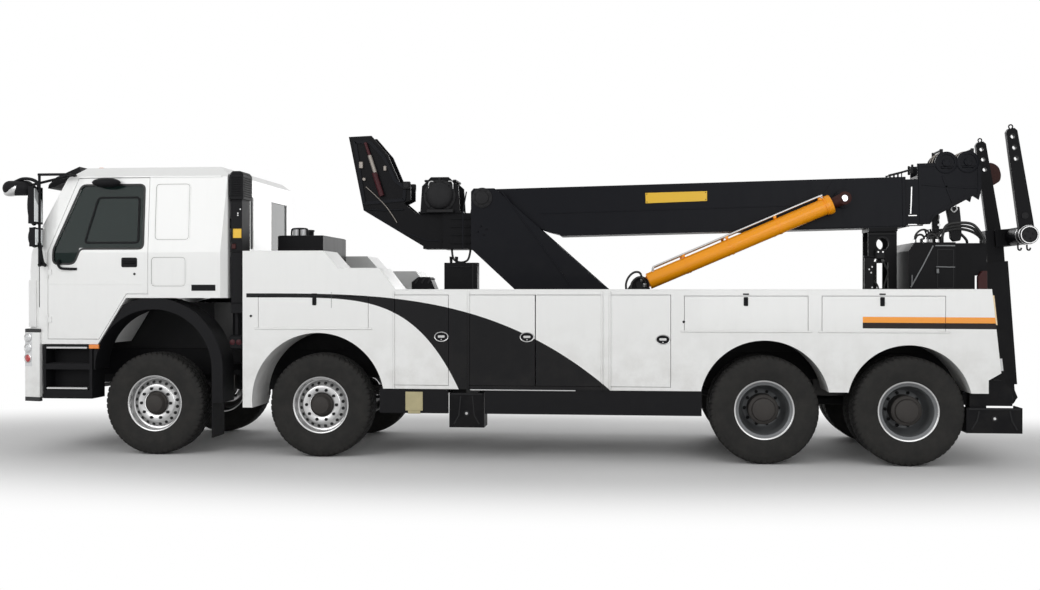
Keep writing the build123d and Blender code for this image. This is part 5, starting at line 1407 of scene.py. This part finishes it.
# %% Hooks under the head
HOOK = [(8.390, 2.640), (8.532, 2.640), (8.545, 2.520), (8.556, 2.330), (8.540, 2.275),
        (8.470, 2.262), (8.436, 2.300), (8.424, 2.460)]
HOOK_FAR = [(8.272, 2.640), (8.345, 2.640), (8.356, 2.480), (8.350, 2.330), (8.336, 2.290),
            (8.300, 2.286), (8.284, 2.340), (8.280, 2.480)]
hooks = join([prism(rounded(stations(HOOK), 0.012), 0.030, 0.090, 0.008),
              prism(rounded(stations(HOOK_FAR), 0.010), -0.090, -0.040, 0.008)])
piece("hanging_hooks", hooks, "boom_stage", dark_cast)
shackles = [bent([(0.098, 8.452, 2.650), (0.102, 8.440, 2.610), (0.100, 8.470, 2.580),
                  (0.100, 8.500, 2.612), (0.098, 8.488, 2.650)], 6, 0.009, 8),
            bent([(-0.034, 8.328, 2.585), (-0.030, 8.345, 2.540), (-0.032, 8.338, 2.495)],
                 6, 0.010, 8),
            disc(at(-0.038, 8.345, 2.450), 0.016, 0.012)]
piece("shackles", join(shackles), "boom_stage", bright_steel)
print("hooks and shackles hung")

# %% [markdown]
# A hose is a curve with a round section: one smooth spline from one fitting to the next. Both ends
# sit in hexagon fittings.

# %% Hoses


def hose(name, points, thick, body):
    """A hydraulic hose: one open spline between two fittings."""
    curve = bpy.data.curves.new(name, "CURVE")
    curve.dimensions = "3D"
    curve.resolution_u = 10
    line = curve.splines.new("NURBS")
    line.points.add(len(points) - 1)
    for knot, (x, s, z) in zip(line.points, points):
        knot.co = (x, along(s), z, 1.0)
    line.order_u = 3
    line.use_endpoint_u = True
    thing = bpy.data.objects.new(name, curve)
    bpy.context.scene.collection.objects.link(thing)
    bare = bpy.data.meshes.new_from_object(thing)
    run = np.array([v.co for v in bare.vertices])
    curve.bevel_depth = thick / 2
    curve.bevel_resolution = 3
    curve.use_fill_caps = True
    curve.materials.append(hose_rubber.material)
    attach(thing, body)
    ends = [nut(run[0], thick * 0.85, thick * 1.6, run[1] - run[0]),
            nut(run[-1], thick * 0.85, thick * 1.6, run[-2] - run[-1])]
    fitting = piece(f"{name}_fittings", join(ends), body, bright_steel)


HOUSING_TOP = 2.240
LOOP_HOSE = 0.022
REST_HOSE = 0.020
FOOT_HOSE = 0.024
hose("loop_hose_one",
     [(0.40, 7.985, HOUSING_TOP), (0.40, 7.988, 2.285), (0.40, 8.010, 2.345), (0.40, 8.070, 2.385),
      (0.40, 8.130, 2.365), (0.40, 8.152, 2.305), (0.40, 8.155, HOUSING_TOP)], LOOP_HOSE, "chassis")
hose("loop_hose_two",
     [(0.34, 8.005, HOUSING_TOP), (0.34, 8.006, 2.270), (0.34, 8.025, 2.318), (0.34, 8.070, 2.335),
      (0.34, 8.108, 2.300), (0.34, 8.112, HOUSING_TOP)], LOOP_HOSE, "chassis")
hose("loop_hose_three",
     [(0.46, 8.090, HOUSING_TOP), (0.46, 8.093, 2.280), (0.46, 8.120, 2.326), (0.46, 8.170, 2.330),
      (0.46, 8.205, 2.292), (0.46, 8.210, HOUSING_TOP)], LOOP_HOSE, "chassis")
hose("rest_hose_one",
     [(0.185, 7.640, 2.074), (0.190, 7.615, 2.020), (0.210, 7.565, 1.950), (0.225, 7.570, 1.870),
      (0.235, 7.630, 1.820), (0.240, 7.655, 1.760), (0.240, 7.655, 1.700)], REST_HOSE, "chassis")
hose("rest_hose_two",
     [(0.185, 7.700, 2.074), (0.190, 7.735, 2.010), (0.215, 7.765, 1.930), (0.240, 7.735, 1.860),
      (0.262, 7.705, 1.790), (0.265, 7.700, 1.700)], REST_HOSE, "chassis")
hose("foot_hose_one",
     [(0.455, 4.985, 1.700), (0.455, 4.960, 1.765), (0.450, 4.975, 1.860), (0.440, 5.040, 1.935),
      (0.425, 5.110, 1.940), (0.408, 5.135, 1.895), (0.396, 5.140, 1.835)], FOOT_HOSE, "chassis")
hose("foot_hose_two",
     [(0.490, 5.030, 1.700), (0.490, 5.015, 1.760), (0.480, 5.030, 1.830), (0.465, 5.085, 1.880),
      (0.445, 5.140, 1.875), (0.415, 5.170, 1.830), (0.398, 5.165, 1.780)], FOOT_HOSE, "chassis")
print("hoses laid")

# %% [markdown]
# The boom rest is a pierced plate with a clamp block, corner pads and a collar round its sight
# hole. A slim box with small lamps stands beside it on the near side alone.

# %% Boom rest
rest = [brick(at(0.163, 7.628, 2.075), at(0.240, 7.722, 2.180), 0.008),
        brick(at(0.162, 7.565, 2.335), at(0.172, 7.855, 2.360), 0.003),
        brick(at(0.162, 7.565, 1.706), at(0.190, 7.600, 1.735), 0.004),
        brick(at(0.162, 7.820, 1.706), at(0.190, 7.855, 1.735), 0.004)]
rest.append(lathe([(0.0, 0.066), (0.0, 0.080), (0.008, 0.080), (0.010, 0.074), (0.010, 0.066)],
                  at(0.161, 7.710, 2.240), 40))
pair("rest_fittings", join(rest), "chassis", dark_cast)
rest_bolts = [disc(at(0.240, 7.650 + n * 0.048, 2.150), 0.010, 0.006) for n in range(2)]
pair("rest_bolts", join(rest_bolts), "chassis", bright_steel)
slim_box = join([brick(at(0.445, 7.456, 1.701), at(0.530, 7.550, 2.089), 0.008),
                 brick(at(0.440, 7.448, 2.085), at(0.535, 7.558, 2.100), 0.004)])
piece("slim_box", slim_box, "chassis", plastic)
dots = [disc(at(0.529, s, z), 0.009, 0.005)
        for s, z in ((7.520, 1.925), (7.500, 1.960), (7.530, 1.985), (7.530, 1.770))]
piece("slim_box_lamps", join(dots), "chassis", lamp_glass)
print("boom rest dressed")

# %% [markdown]
# The closed housing behind the rest holds the valves of the underlift: welded ribs and a panel on
# its sides, a row of valves on top, hoses that run over the mast, and dark red boards at the end.

# %% Tail housing
HOUSING_X = 0.520
ribs = [raised([(8.150, 2.205), (8.040, 1.985), (7.925, 1.772)], 0.012, HOUSING_X, 0.010),
        raised([(8.170, 2.205), (8.270, 2.204), (8.370, 2.203)], 0.012, HOUSING_X, 0.012),
        raised([(8.180, 1.985), (8.275, 1.983), (8.370, 1.981)], 0.010, HOUSING_X, 0.010),
        raised([(7.935, 1.790), (7.936, 1.840), (7.937, 1.900)], 0.010, HOUSING_X, 0.012),
        brick(at(HOUSING_X - 0.001, 8.180, 1.915), at(HOUSING_X + 0.030, 8.205, 1.965), 0.005)]
pair("housing_ribs", join(ribs), "chassis", grey_rim)
panel = band(rounded(stations([(8.190, 1.760), (8.190, 2.170), (8.360, 2.170), (8.360, 1.760)]),
                     0.015), 0.010, HOUSING_X - 0.001, HOUSING_X + 0.004)
pair("housing_panel", panel, "chassis", dark_cast)
valves = []
for n in range(5):
    x = -0.24 + 0.11 * n
    valves.append(brick(at(x - 0.040, 8.200, HOUSING_TOP),
                        at(x + 0.040, 8.330, HOUSING_TOP + 0.075), 0.008))
    valves.append(tube([at(x, 8.265, HOUSING_TOP + 0.070), at(x, 8.262, HOUSING_TOP + 0.120),
                        at(x, 8.250, HOUSING_TOP + 0.165)], [0.007, 0.007, 0.012], 10))
piece("valve_bank", join(valves), "chassis", dark_cast)
over_mast = [bent([(x, 8.215 + step, HOUSING_TOP - 0.004), (x + 0.01, 8.225 + step, 2.315),
                   (x + 0.01, 8.330, 2.365 + step), (x + 0.02, 8.470, 2.390 + step),
                   (x + 0.02, 8.600, 2.365 + step), (x + 0.03, 8.690, 2.300),
                   (x + 0.03, 8.700, HOUSING_TOP - 0.004)], 8, 0.015, 10)
             for x, step in ((0.245, 0.0), (0.300, 0.030), (0.350, 0.060), (-0.280, 0.020))]
piece("mast_hoses", join(over_mast), "chassis", hose_rubber)
dark_red = plain("dark_red", (0.034, 0.004, 0.004), 0.4, 150.0, 0.0005, 0.4, Specular_IOR_Level=0.2)
boards = prism(rounded(stations([(8.655, 1.735), (8.655, 1.885), (8.700, 1.945), (8.750, 1.945),
                                 (8.752, 1.735)]), 0.008), 0.275, 0.330, 0.004)
pair("end_boards", boards, "chassis", dark_red)
print("tail housing dressed")

# %% [markdown]
# The underlift folds up behind the tail. Its crossbar has a cap at each end, rings and a lip in
# bright steel that are painted highlights on its end, and small chain hooks below. Each fork has an
# eye on its tip and collars round its holes, and the far one carries a dark brown grab.

# %% Underlift
FOLD = np.array([9.016, 0.600])
ARM_TILT = math.radians(4.2)
FORK_TILT = math.radians(8.5)
BAR_END_X = 0.6195
FORK_X = 0.5745


def on_arm(across_arm, up):
    """A side-view point of the folded arm: behind its line and up it from the fold pin."""
    return (FOLD[0] + across_arm * math.cos(ARM_TILT) - up * math.sin(ARM_TILT),
            FOLD[1] + across_arm * math.sin(ARM_TILT) + up * math.cos(ARM_TILT))


BAR = on_arm(0.190, 1.700)


def on_fork(back, up):
    """A side-view point of a fork bar: behind its line and up it from the crossbar."""
    return (BAR[0] + back * math.cos(FORK_TILT) - up * math.sin(FORK_TILT),
            BAR[1] + back * math.sin(FORK_TILT) + up * math.cos(FORK_TILT))


cap = lathe([(0.0, 0.094), (0.008, 0.094), (0.012, 0.088), (0.012, 0.072), (0.006, 0.068),
             (0.006, 0.0004)], at(BAR_END_X, *BAR), 40)
# The rings and the lip are bright steel as painted highlights for the pale arcs on the crossbar's
# end.
rings = [lathe([(-0.006, 0.095), (-0.006, 0.100), (0.006, 0.100), (0.006, 0.095)], at(x, *BAR), 40)
         for x in (0.598, 0.490)]
pair("crossbar_cap", cap, "underlift_crossbar", dark_cast)
lip = lathe([(0.010, 0.090), (0.0145, 0.088), (0.0145, 0.080), (0.010, 0.078)], at(BAR_END_X, *BAR),
            40)
pair("crossbar_highlight_rings", join([lip, *rings]), "underlift_crossbar", bright_steel)
cap_bolts = bolt_ring(*BAR, BAR_END_X + 0.006, 0.040, 4, 0.010)
pair("crossbar_bolts", join(cap_bolts), "underlift_crossbar", dark_cast)
chain_hooks = []
for s in (9.020, 9.110):
    chain_hooks.append(bent([(0.455, s, BAR[1] - 0.080), (0.455, s, BAR[1] - 0.120),
                             (0.455, s + 0.006, BAR[1] - 0.146), (0.455, s + 0.026, BAR[1] - 0.150),
                             (0.455, s + 0.036, BAR[1] - 0.128)], 6, 0.009, 8))
pair("chain_hooks", join(chain_hooks), "underlift_crossbar", dark_cast)
tip = on_fork(0.0, 1.100)
a = np.linspace(-0.35 * np.pi, 1.35 * np.pi, 20)
eye_path = np.stack([a * 0 + 0.545, along(tip[0]) + 0.020 * np.cos(a),
                     tip[1] + 0.030 + 0.020 * np.sin(a)], 1)
fork_bits = [tube(eye_path, 0.007, 8)]
for up in (1.025, 0.910, 0.795):
    s, z = on_fork(0.0, up)
    fork_bits.append(lathe([(0.0, 0.022), (0.0, 0.032), (0.005, 0.032), (0.006, 0.022)],
                           at(FORK_X, s, z), 28))
s, z = on_fork(0.0, 0.200)
fork_bits += [disc(at(FORK_X, s, z), 0.034, 0.012),
              *bolt_ring(s, z, FORK_X + 0.011, 0.020, 3, 0.006)]
pair("fork_fittings", join(fork_bits), "underlift_crossbar", dark_cast)
grab = prism(rounded(stations([on_fork(0.055, 0.600), on_fork(0.150, 0.640), on_fork(0.172, 0.710),
                               on_fork(0.160, 0.800), on_fork(0.110, 0.850),
                               on_fork(0.055, 0.870)]), 0.03), -0.568, -0.522, 0.006)
piece("fork_grab", grab, "underlift_crossbar", eye_brown)
arm_bits = [disc(at(0.156, *FOLD), 0.050, 0.014), *bolt_ring(*FOLD, 0.169, 0.034, 3, 0.008)]
pair("fold_pin_cap", join(arm_bits), "underlift_carriage", dark_cast)
print("underlift dressed")

# %% [markdown]
# The bodies' rear wall leans forwards. Each corner carries a pale strip with a dark red edge and
# three round lamps, and the number plate between them is blank.

# %% Rear corners of the bodies
cream = plain("cream_strip", (0.78, 0.60, 0.34), 0.35, 120.0, 0.0003, 0.15, Coat_Weight=0.5)


def rear_wall(z):
    """Station of the bodies' sloping rear wall at a height."""
    return 8.640 - 0.1078 * (z - 0.730)


STRIP_TOP = 1.690
STRIP_FOOT = 1.400
LAMP_Z = 1.010
strip = prism(stations([(rear_wall(STRIP_TOP), STRIP_TOP),
                        (rear_wall(STRIP_TOP) + 0.016, STRIP_TOP),
                        (rear_wall(STRIP_FOOT) + 0.016, STRIP_FOOT),
                        (rear_wall(STRIP_FOOT), STRIP_FOOT)]), 1.140, 1.246, 0.002)
pair("corner_strip", strip, "chassis", cream)
strip_edge = prism(stations([(rear_wall(STRIP_TOP) + 0.015, STRIP_TOP),
                             (rear_wall(STRIP_TOP) + 0.024, STRIP_TOP),
                             (rear_wall(STRIP_FOOT) + 0.024, STRIP_FOOT),
                             (rear_wall(STRIP_FOOT) + 0.015, STRIP_FOOT)]), 1.150, 1.236, 0.002)
pair("corner_strip_edge", strip_edge, "chassis", dark_red)
REAR_OUT = np.array([0.0, 0.994, 0.107])
tail_lens = []
tail_rims = []
for n, x in enumerate((1.135, 1.055, 0.975)):
    place = np.array([x, along(rear_wall(LAMP_Z) + 0.041), LAMP_Z])
    tail_rims.append(lathe([(0.0, 0.038), (0.006, 0.038), (0.009, 0.034), (0.006, 0.031),
                            (0.0, 0.031)], place, 28, REAR_OUT))
    tail_lens.append(lathe([(0.0, 0.031), (0.006, 0.030), (0.012, 0.018), (0.014, 0.0004)], place,
                           28, REAR_OUT))
pair("tail_lamp_rims", join(tail_rims), "chassis", plastic)
pair("tail_lamp_red", join(tail_lens[::2]), "chassis", red_lens)
pair("tail_lamp_amber", tail_lens[1], "chassis", amber_lens)
rear_plate = prism(rounded(np.array([(-0.24, 0.86), (-0.24, 0.98), (0.24, 0.98), (0.24, 0.86)]),
                           0.012), along(8.760), along(8.766), 0.001, "front")
piece("rear_blank_plate", (rear_plate[0] + [0.0, 0.0, 1.10], rear_plate[1]), "chassis",
      yellow_plate)
print("rear corners dressed")

# %% [markdown]
# The bodies' outer faces have small plugs, a rod along the skirt, a folded lip along their stepped
# top and a seam beside the first door. A small pale plate hangs under the skirt.

# %% Sides and skirts of the bodies
marks = [disc(at(BODY_X - 0.001, s, z), 0.013, 0.005) for s, z in ((1.089, 1.473), (5.552, 1.424))]
pair("body_plugs", join(marks), "chassis", plastic)
trim = [tube([at(BODY_X - 0.004, 3.394, 0.724), at(BODY_X - 0.004, 4.466, 0.724)], 0.007, 8)]
trim += [brick(at(BODY_X - 0.016, s, 0.716), at(BODY_X - 0.002, s + 0.030, 0.734), 0.003)
         for s in (3.400, 3.930, 4.430)]
pair("skirt_rod", join(trim), "chassis", bright_steel)
EDGE_TOP = [(1.010, 2.146), (1.855, 2.146), (2.015, 1.966), (2.445, 1.966), (2.612, 1.746),
            (8.525, 1.746)]
body_lip = []
for start, end in zip(EDGE_TOP, EDGE_TOP[1:]):
    halfway = ((start[0] + end[0]) / 2, (start[1] + end[1]) / 2)
    body_lip.append(ribbon([start, halfway, end], 0.010, BODY_X - 0.002, BODY_X + 0.003))
pair("body_lip", join(body_lip), "chassis", white_paint)
step_end = raised([(1.945, 1.720), (1.945, 1.640), (1.945, 1.560)], 0.004, BODY_X, 0.002)
pair("body_seams", step_end, "chassis", grey_rim)
strap = join([brick(at(1.236, 2.720, 0.505), at(1.246, 2.900, 0.700), 0.003),
              brick(at(1.230, 2.745, 0.474), at(1.241, 2.875, 0.520), 0.003)])
patch_cream = plain("patch_cream", (0.34, 0.30, 0.17), 0.6, 60.0, 0.0006, 0.6)
pair("skirt_patch", strap, "chassis", patch_cream)
print("body sides dressed")

# %% [markdown]
# The air intake stands right behind the cab. It has louvres on its side and back, three straps, a
# blank yellow label, a red latch and clips. A small box with two red lamps is fixed low beside it.

# %% Air intake behind the cab
INTAKE_X = 1.118
louvres = [brick(at(1.138, 0.840, z), at(1.146, 0.950, z + 0.010), 0.003)
           for z in np.arange(2.730, 2.940, 0.024)]
louvres += [brick(at(0.880, 0.969, z), at(1.120, 0.977, z + 0.010), 0.003)
            for z in np.arange(2.730, 2.940, 0.024)]
louvres += [brick(at(INTAKE_X, 0.826, z), at(1.126, 0.954, z + 0.016), 0.004)
            for z in (2.680, 2.140, 1.600)]
louvres.append(ribbon([(0.946, 2.690), (0.946, 2.200), (0.946, 1.520)], 0.008, INTAKE_X, 1.124))
louvres.append(prism(rounded(stations([(0.820, 2.962), (0.850, 2.995), (0.940, 2.995),
                                       (0.972, 2.962)]), 0.012), 0.865, 1.135))
piece("intake_louvres", join(louvres), "chassis", plastic)
label = band(stations([(0.852, 2.292), (0.852, 2.388), (0.945, 2.388), (0.945, 2.292)]), 0.006,
             1.119, 1.123)
face = prism(stations([(0.858, 2.298), (0.858, 2.382), (0.939, 2.382), (0.939, 2.298)]), 1.119,
             1.122, 0.001)
piece("intake_label", join([label, face]), "chassis", yellow_plate)
piece("intake_latch", brick(at(INTAKE_X, 0.838, 2.176), at(1.134, 0.884, 2.232), 0.006), "chassis",
      dark_red)
clips = [disc(at(1.119, s, z), 0.008, 0.005)
         for s, z in ((0.937, 2.826), (0.930, 2.594), (0.904, 2.552), (0.904, 2.530))]
piece("intake_clips", join(clips), "chassis", bright_steel)
lamp_box = join([brick(at(0.985, 0.797, 1.120), at(1.085, 0.937, 1.262), 0.010),
                 brick(at(1.000, 0.840, 1.255), at(1.040, 0.880, 1.505), 0.006)])
piece("lamp_box", lamp_box, "chassis", plastic)
round_lamps = [lathe([(0.0, 0.030), (0.008, 0.029), (0.014, 0.016), (0.016, 0.0004)],
                     at(1.084, s, 1.192), 24) for s in (0.832, 0.902)]
piece("box_lamps", join(round_lamps), "chassis", ram_red)
print("air intake dressed")

# %% [markdown]
# On the tank stand two level gauges in a bent frame, a filler and a round lid. Behind it come the
# ribs on the hump, the valve box with its levers, and a hose that loops down the column.

# %% Tank, valve box and hose loop
TANK_TOP = 2.339
gauge = [tube([at(0.300, s, 2.338), at(0.300, s, 2.420)], 0.034, 20) for s in (1.285, 1.368)]
piece("tank_gauges", join(gauge), "chassis", lamp_glass)
gauge_frame = [bent([(0.300, 1.235, 2.338), (0.300, 1.236, 2.405), (0.300, 1.262, 2.428),
                     (0.300, 1.392, 2.428), (0.300, 1.418, 2.405), (0.300, 1.419, 2.338)],
                    6, 0.011, 10),
               brick(at(0.285, 1.322, 2.338), at(0.315, 1.331, 2.425), 0.003),
               brick(at(0.255, 1.225, TANK_TOP), at(0.345, 1.430, 2.350), 0.003)]
piece("gauge_frame", join(gauge_frame), "chassis", dark_cast)
tank_rim = band(rounded(np.array([(-0.492, along(1.148)), (0.492, along(1.148)),
                                  (0.492, along(1.642)), (-0.492, along(1.642))]), 0.02), 0.016,
                TANK_TOP, 2.346, "plan")
tank_bits = [tank_rim, disc(at(0.200, 1.400, 2.400), 0.066, 0.020, (0, 0, 1)),
             disc(at(-0.200, 1.400, TANK_TOP), 0.110, 0.018, (0, 0, 1))]
piece("tank_lid", join(tank_bits), "chassis", dark_cast)
hump = [ribbon([(s, 1.815), (s + 0.016, 1.845), (s + 0.032, 1.872)], 0.018, 0.330, 0.568)
        for s in (2.690, 2.760, 2.830)]
piece("hump_ribs", join(hump), "chassis", dark_cast)
box_trim = [ribbon([(3.305, 2.030), (3.305, 1.870), (3.305, 1.710)], 0.014, 0.449, 0.456),
            brick(at(0.449, 3.010, 1.990), at(0.458, 3.280, 2.000), 0.003)]
box_trim += [tube([at(0.300 + 0.026 * n, 3.050 + 0.06 * k, 2.040),
                   at(0.300 + 0.026 * n, 3.050 + 0.06 * k, 2.110)], [0.006, 0.011], 8)
             for n in range(5) for k in range(2)]
piece("valve_box_trim", join(box_trim), "chassis", dark_cast)
loop = bent([(0.146, 3.030, 2.260), (0.175, 3.032, 2.170), (0.185, 3.055, 2.085),
             (0.190, 3.130, 2.052), (0.185, 3.205, 2.075), (0.172, 3.232, 2.150),
             (0.146, 3.236, 2.240)], 8, 0.012, 10)
piece("column_hose_loop", loop, "chassis", hose_rubber)
print("tank and valve box dressed")

# %% [markdown]
# The roof has a low hatch, pressed swages and five marker lamps along its front edge. The deck is
# chequered with small raised bars, which leave out the places where the lift cylinders stand.

# %% Roof and deck
ROOF_Z = 3.049
roof = [brick(at(-0.36, -0.42, ROOF_Z), at(0.36, 0.22, 3.070), 0.010),
        brick(at(-0.32, -0.38, 3.069), at(0.32, 0.18, 3.076), 0.004)]
piece("roof_hatch", join(roof), "chassis", white_paint)
swages = [brick(at(x - 0.020, -0.60, ROOF_Z), at(x + 0.020, 0.60, 3.055), 0.004)
          for x in (-0.80, -0.60, 0.60, 0.80)]
piece("roof_swages", join(swages), "chassis", white_paint)
tops = [lathe([(0.0, 0.050), (0.020, 0.047), (0.034, 0.030), (0.038, 0.0004)], at(x, -0.720, 3.040),
              20, (0, 0, 1)) for x in (-0.85, -0.42, 0.0, 0.42, 0.85)]
piece("roof_markers", join(tops), "chassis", amber_lens)
DECK_Z = 1.699
diamond = []
for s in np.arange(4.98, 7.50, 0.14):
    for x in np.arange(-0.60, 0.61, 0.15):
        if abs(abs(x) - 0.31) > 0.13 or s > 5.40:
            diamond.append(brick(at(x - 0.020, s - 0.005, DECK_Z),
                                 at(x + 0.020, s + 0.005, DECK_Z + 0.005), 0.0015))
piece("deck_treads", join(diamond), "chassis", dark_cast, smooth=False)
print(len(diamond), "bars on the deck")

# %% [markdown]
# Each jack's foot is a welded shoe: a top edge, two sloping gussets, a boss with a bright pin, and
# a thin plate over its sole. It moves with its jack.

# %% Feet of the jacks
for jack, x, s0, s1, top in (("front", 1.080, 3.170, 3.530, 0.690),
                             ("rear", 1.050, 8.310, 8.840, 0.585)):
    outer = x + 0.130
    boss = (s0 + s1) / 2
    edge_z = top - 0.012
    bits = [raised([(s0 + 0.02, edge_z), (boss, edge_z), (s1 - 0.02, edge_z)], 0.018, outer, 0.005),
            raised([(s0 + 0.05, 0.370), (s0 + 0.10, 0.460), (s0 + 0.12, top - 0.03)],
                   0.014, outer, 0.006),
            raised([(s1 - 0.05, 0.370), (s1 - 0.10, 0.460), (s1 - 0.12, top - 0.03)],
                   0.014, outer, 0.006),
            disc(at(outer - 0.001, boss, 0.480), 0.030, 0.010),
            brick(at(x - 0.110, s0 + 0.012, 0.3605), at(outer - 0.012, s1 - 0.012, 0.366), 0.002)]
    pair(f"{jack}_jack_foot", join(bits), f"{jack}_jack_{{side}}", dark_cast)
    plug = [disc(at(outer + 0.008, boss, 0.480), 0.014, 0.006)]
    pair(f"{jack}_jack_pin", join(plug), f"{jack}_jack_{{side}}", bright_steel)
print("jacks dressed")

# %% [markdown]
# ## The studio
# The floor is pale and close to white. Away from the truck it turns into plain white light, as
# bright as the sky behind it, so that no horizon shows. Only rays that the camera sees directly, in
# a reflection or through glass meet that light, so it doesn't light the truck from below.

# %% Floor
FLOOR_HALF = 60.0
FLOOR_POINTS = 9
FADE_START = 2.2
FADE_END = 4.6
FLOOR_SQUEEZE = 0.38


def floor_finish():
    """Pale floor that fades to white light: distance = root of x^2 + (0.38 y)^2, eased."""
    made = Finish("floor", Roughness=0.9)
    made.feed(Base_Color=made.blend(made.noise(0.6, 2.0), (0.80, 0.80, 0.80), (0.83, 0.83, 0.83)))
    x, y, z = made.axes()
    away = ((x * x + (y * FLOOR_SQUEEZE) ** 2.0) ** 0.5).ease(FADE_START, FADE_END)
    glow = made.node("Emission", {}, {"Color": (1.0, 1.0, 1.0), "Strength": 1.0})
    rays = [made.node("LightPath", output=n) for n in (0, 3, 6)]
    seen = rays[0].most(rays[1]).most(rays[2])
    faded = made.node("MixShader", {}, {0: away * seen, 1: made.shader.outputs[0], 2: glow})
    made.link(made.tree.nodes["Material Output"].inputs["Surface"], faded)
    return made


t = np.linspace(-FLOOR_HALF, FLOOR_HALF, FLOOR_POINTS)
gx, gy = np.meshgrid(t, t, indexing="ij")
floor_points = np.stack([gx, gy, gx * 0 - 0.001], -1).reshape(-1, 3)
floor_mesh = bpy.data.meshes.new("floor")
floor_mesh.from_pydata(floor_points.tolist(), [], grid_faces(FLOOR_POINTS, FLOOR_POINTS).tolist())
floor = bpy.data.objects.new("floor", floor_mesh)
bpy.context.scene.collection.objects.link(floor)
floor_mesh.materials.append(floor_finish().material)
print("floor laid")

# %% [markdown]
# The sky is plain white. It looks full white to the camera, in reflections and through glass, and
# it lights the truck with less than half of that.

# %% Sky
SKY_LIGHT = 0.47
SKY_SEEN = 1.0
world = bpy.data.worlds.new("sky")
bpy.context.scene.world = world
world.use_nodes = True
sky = world.node_tree
background = sky.nodes["Background"]
background.inputs["Color"].default_value = (1.0, 1.0, 1.0, 1.0)
paths = sky.nodes.new("ShaderNodeLightPath")
direct = paths.outputs["Is Camera Ray"]
for ray in ("Is Glossy Ray", "Is Transmission Ray"):
    either = sky.nodes.new("ShaderNodeMath")
    either.operation = "MAXIMUM"
    sky.links.new(direct, either.inputs[0])
    sky.links.new(paths.outputs[ray], either.inputs[1])
    direct = either.outputs[0]
seen = sky.nodes.new("ShaderNodeMapRange")
sky.links.new(direct, seen.inputs[0])
seen.inputs[3].default_value = SKY_LIGHT
seen.inputs[4].default_value = SKY_SEEN
sky.links.new(seen.outputs[0], background.inputs["Strength"])
print("sky ready")

# %% [markdown]
# Three broad, soft lamps model the paint: one on the camera's side near the cab, a weaker one there
# near the tail, and one behind the truck.

# %% Lamps
LAMP_SIZE = 7.0


def lamp(name, place, target, watts):
    """A square soft lamp that faces a point."""
    light = bpy.data.lights.new(name, "AREA")
    light.shape, light.size, light.energy = "SQUARE", LAMP_SIZE, watts
    thing = bpy.data.objects.new(name, light)
    thing.matrix_world = facing(place, Vector(target) - Vector(place))
    bpy.context.scene.collection.objects.link(thing)


lamp("key", (11.0, -7.0, 6.0), (0, 0, 1.4), 430.0)
lamp("fill", (11.0, 5.5, 4.5), (0, 1.0, 1.4), 300.0)
lamp("back", (-12.0, 3.0, 5.0), (0, 0, 1.4), 400.0)
bpy.context.scene.view_settings.view_transform = "Standard"
print("studio lit")
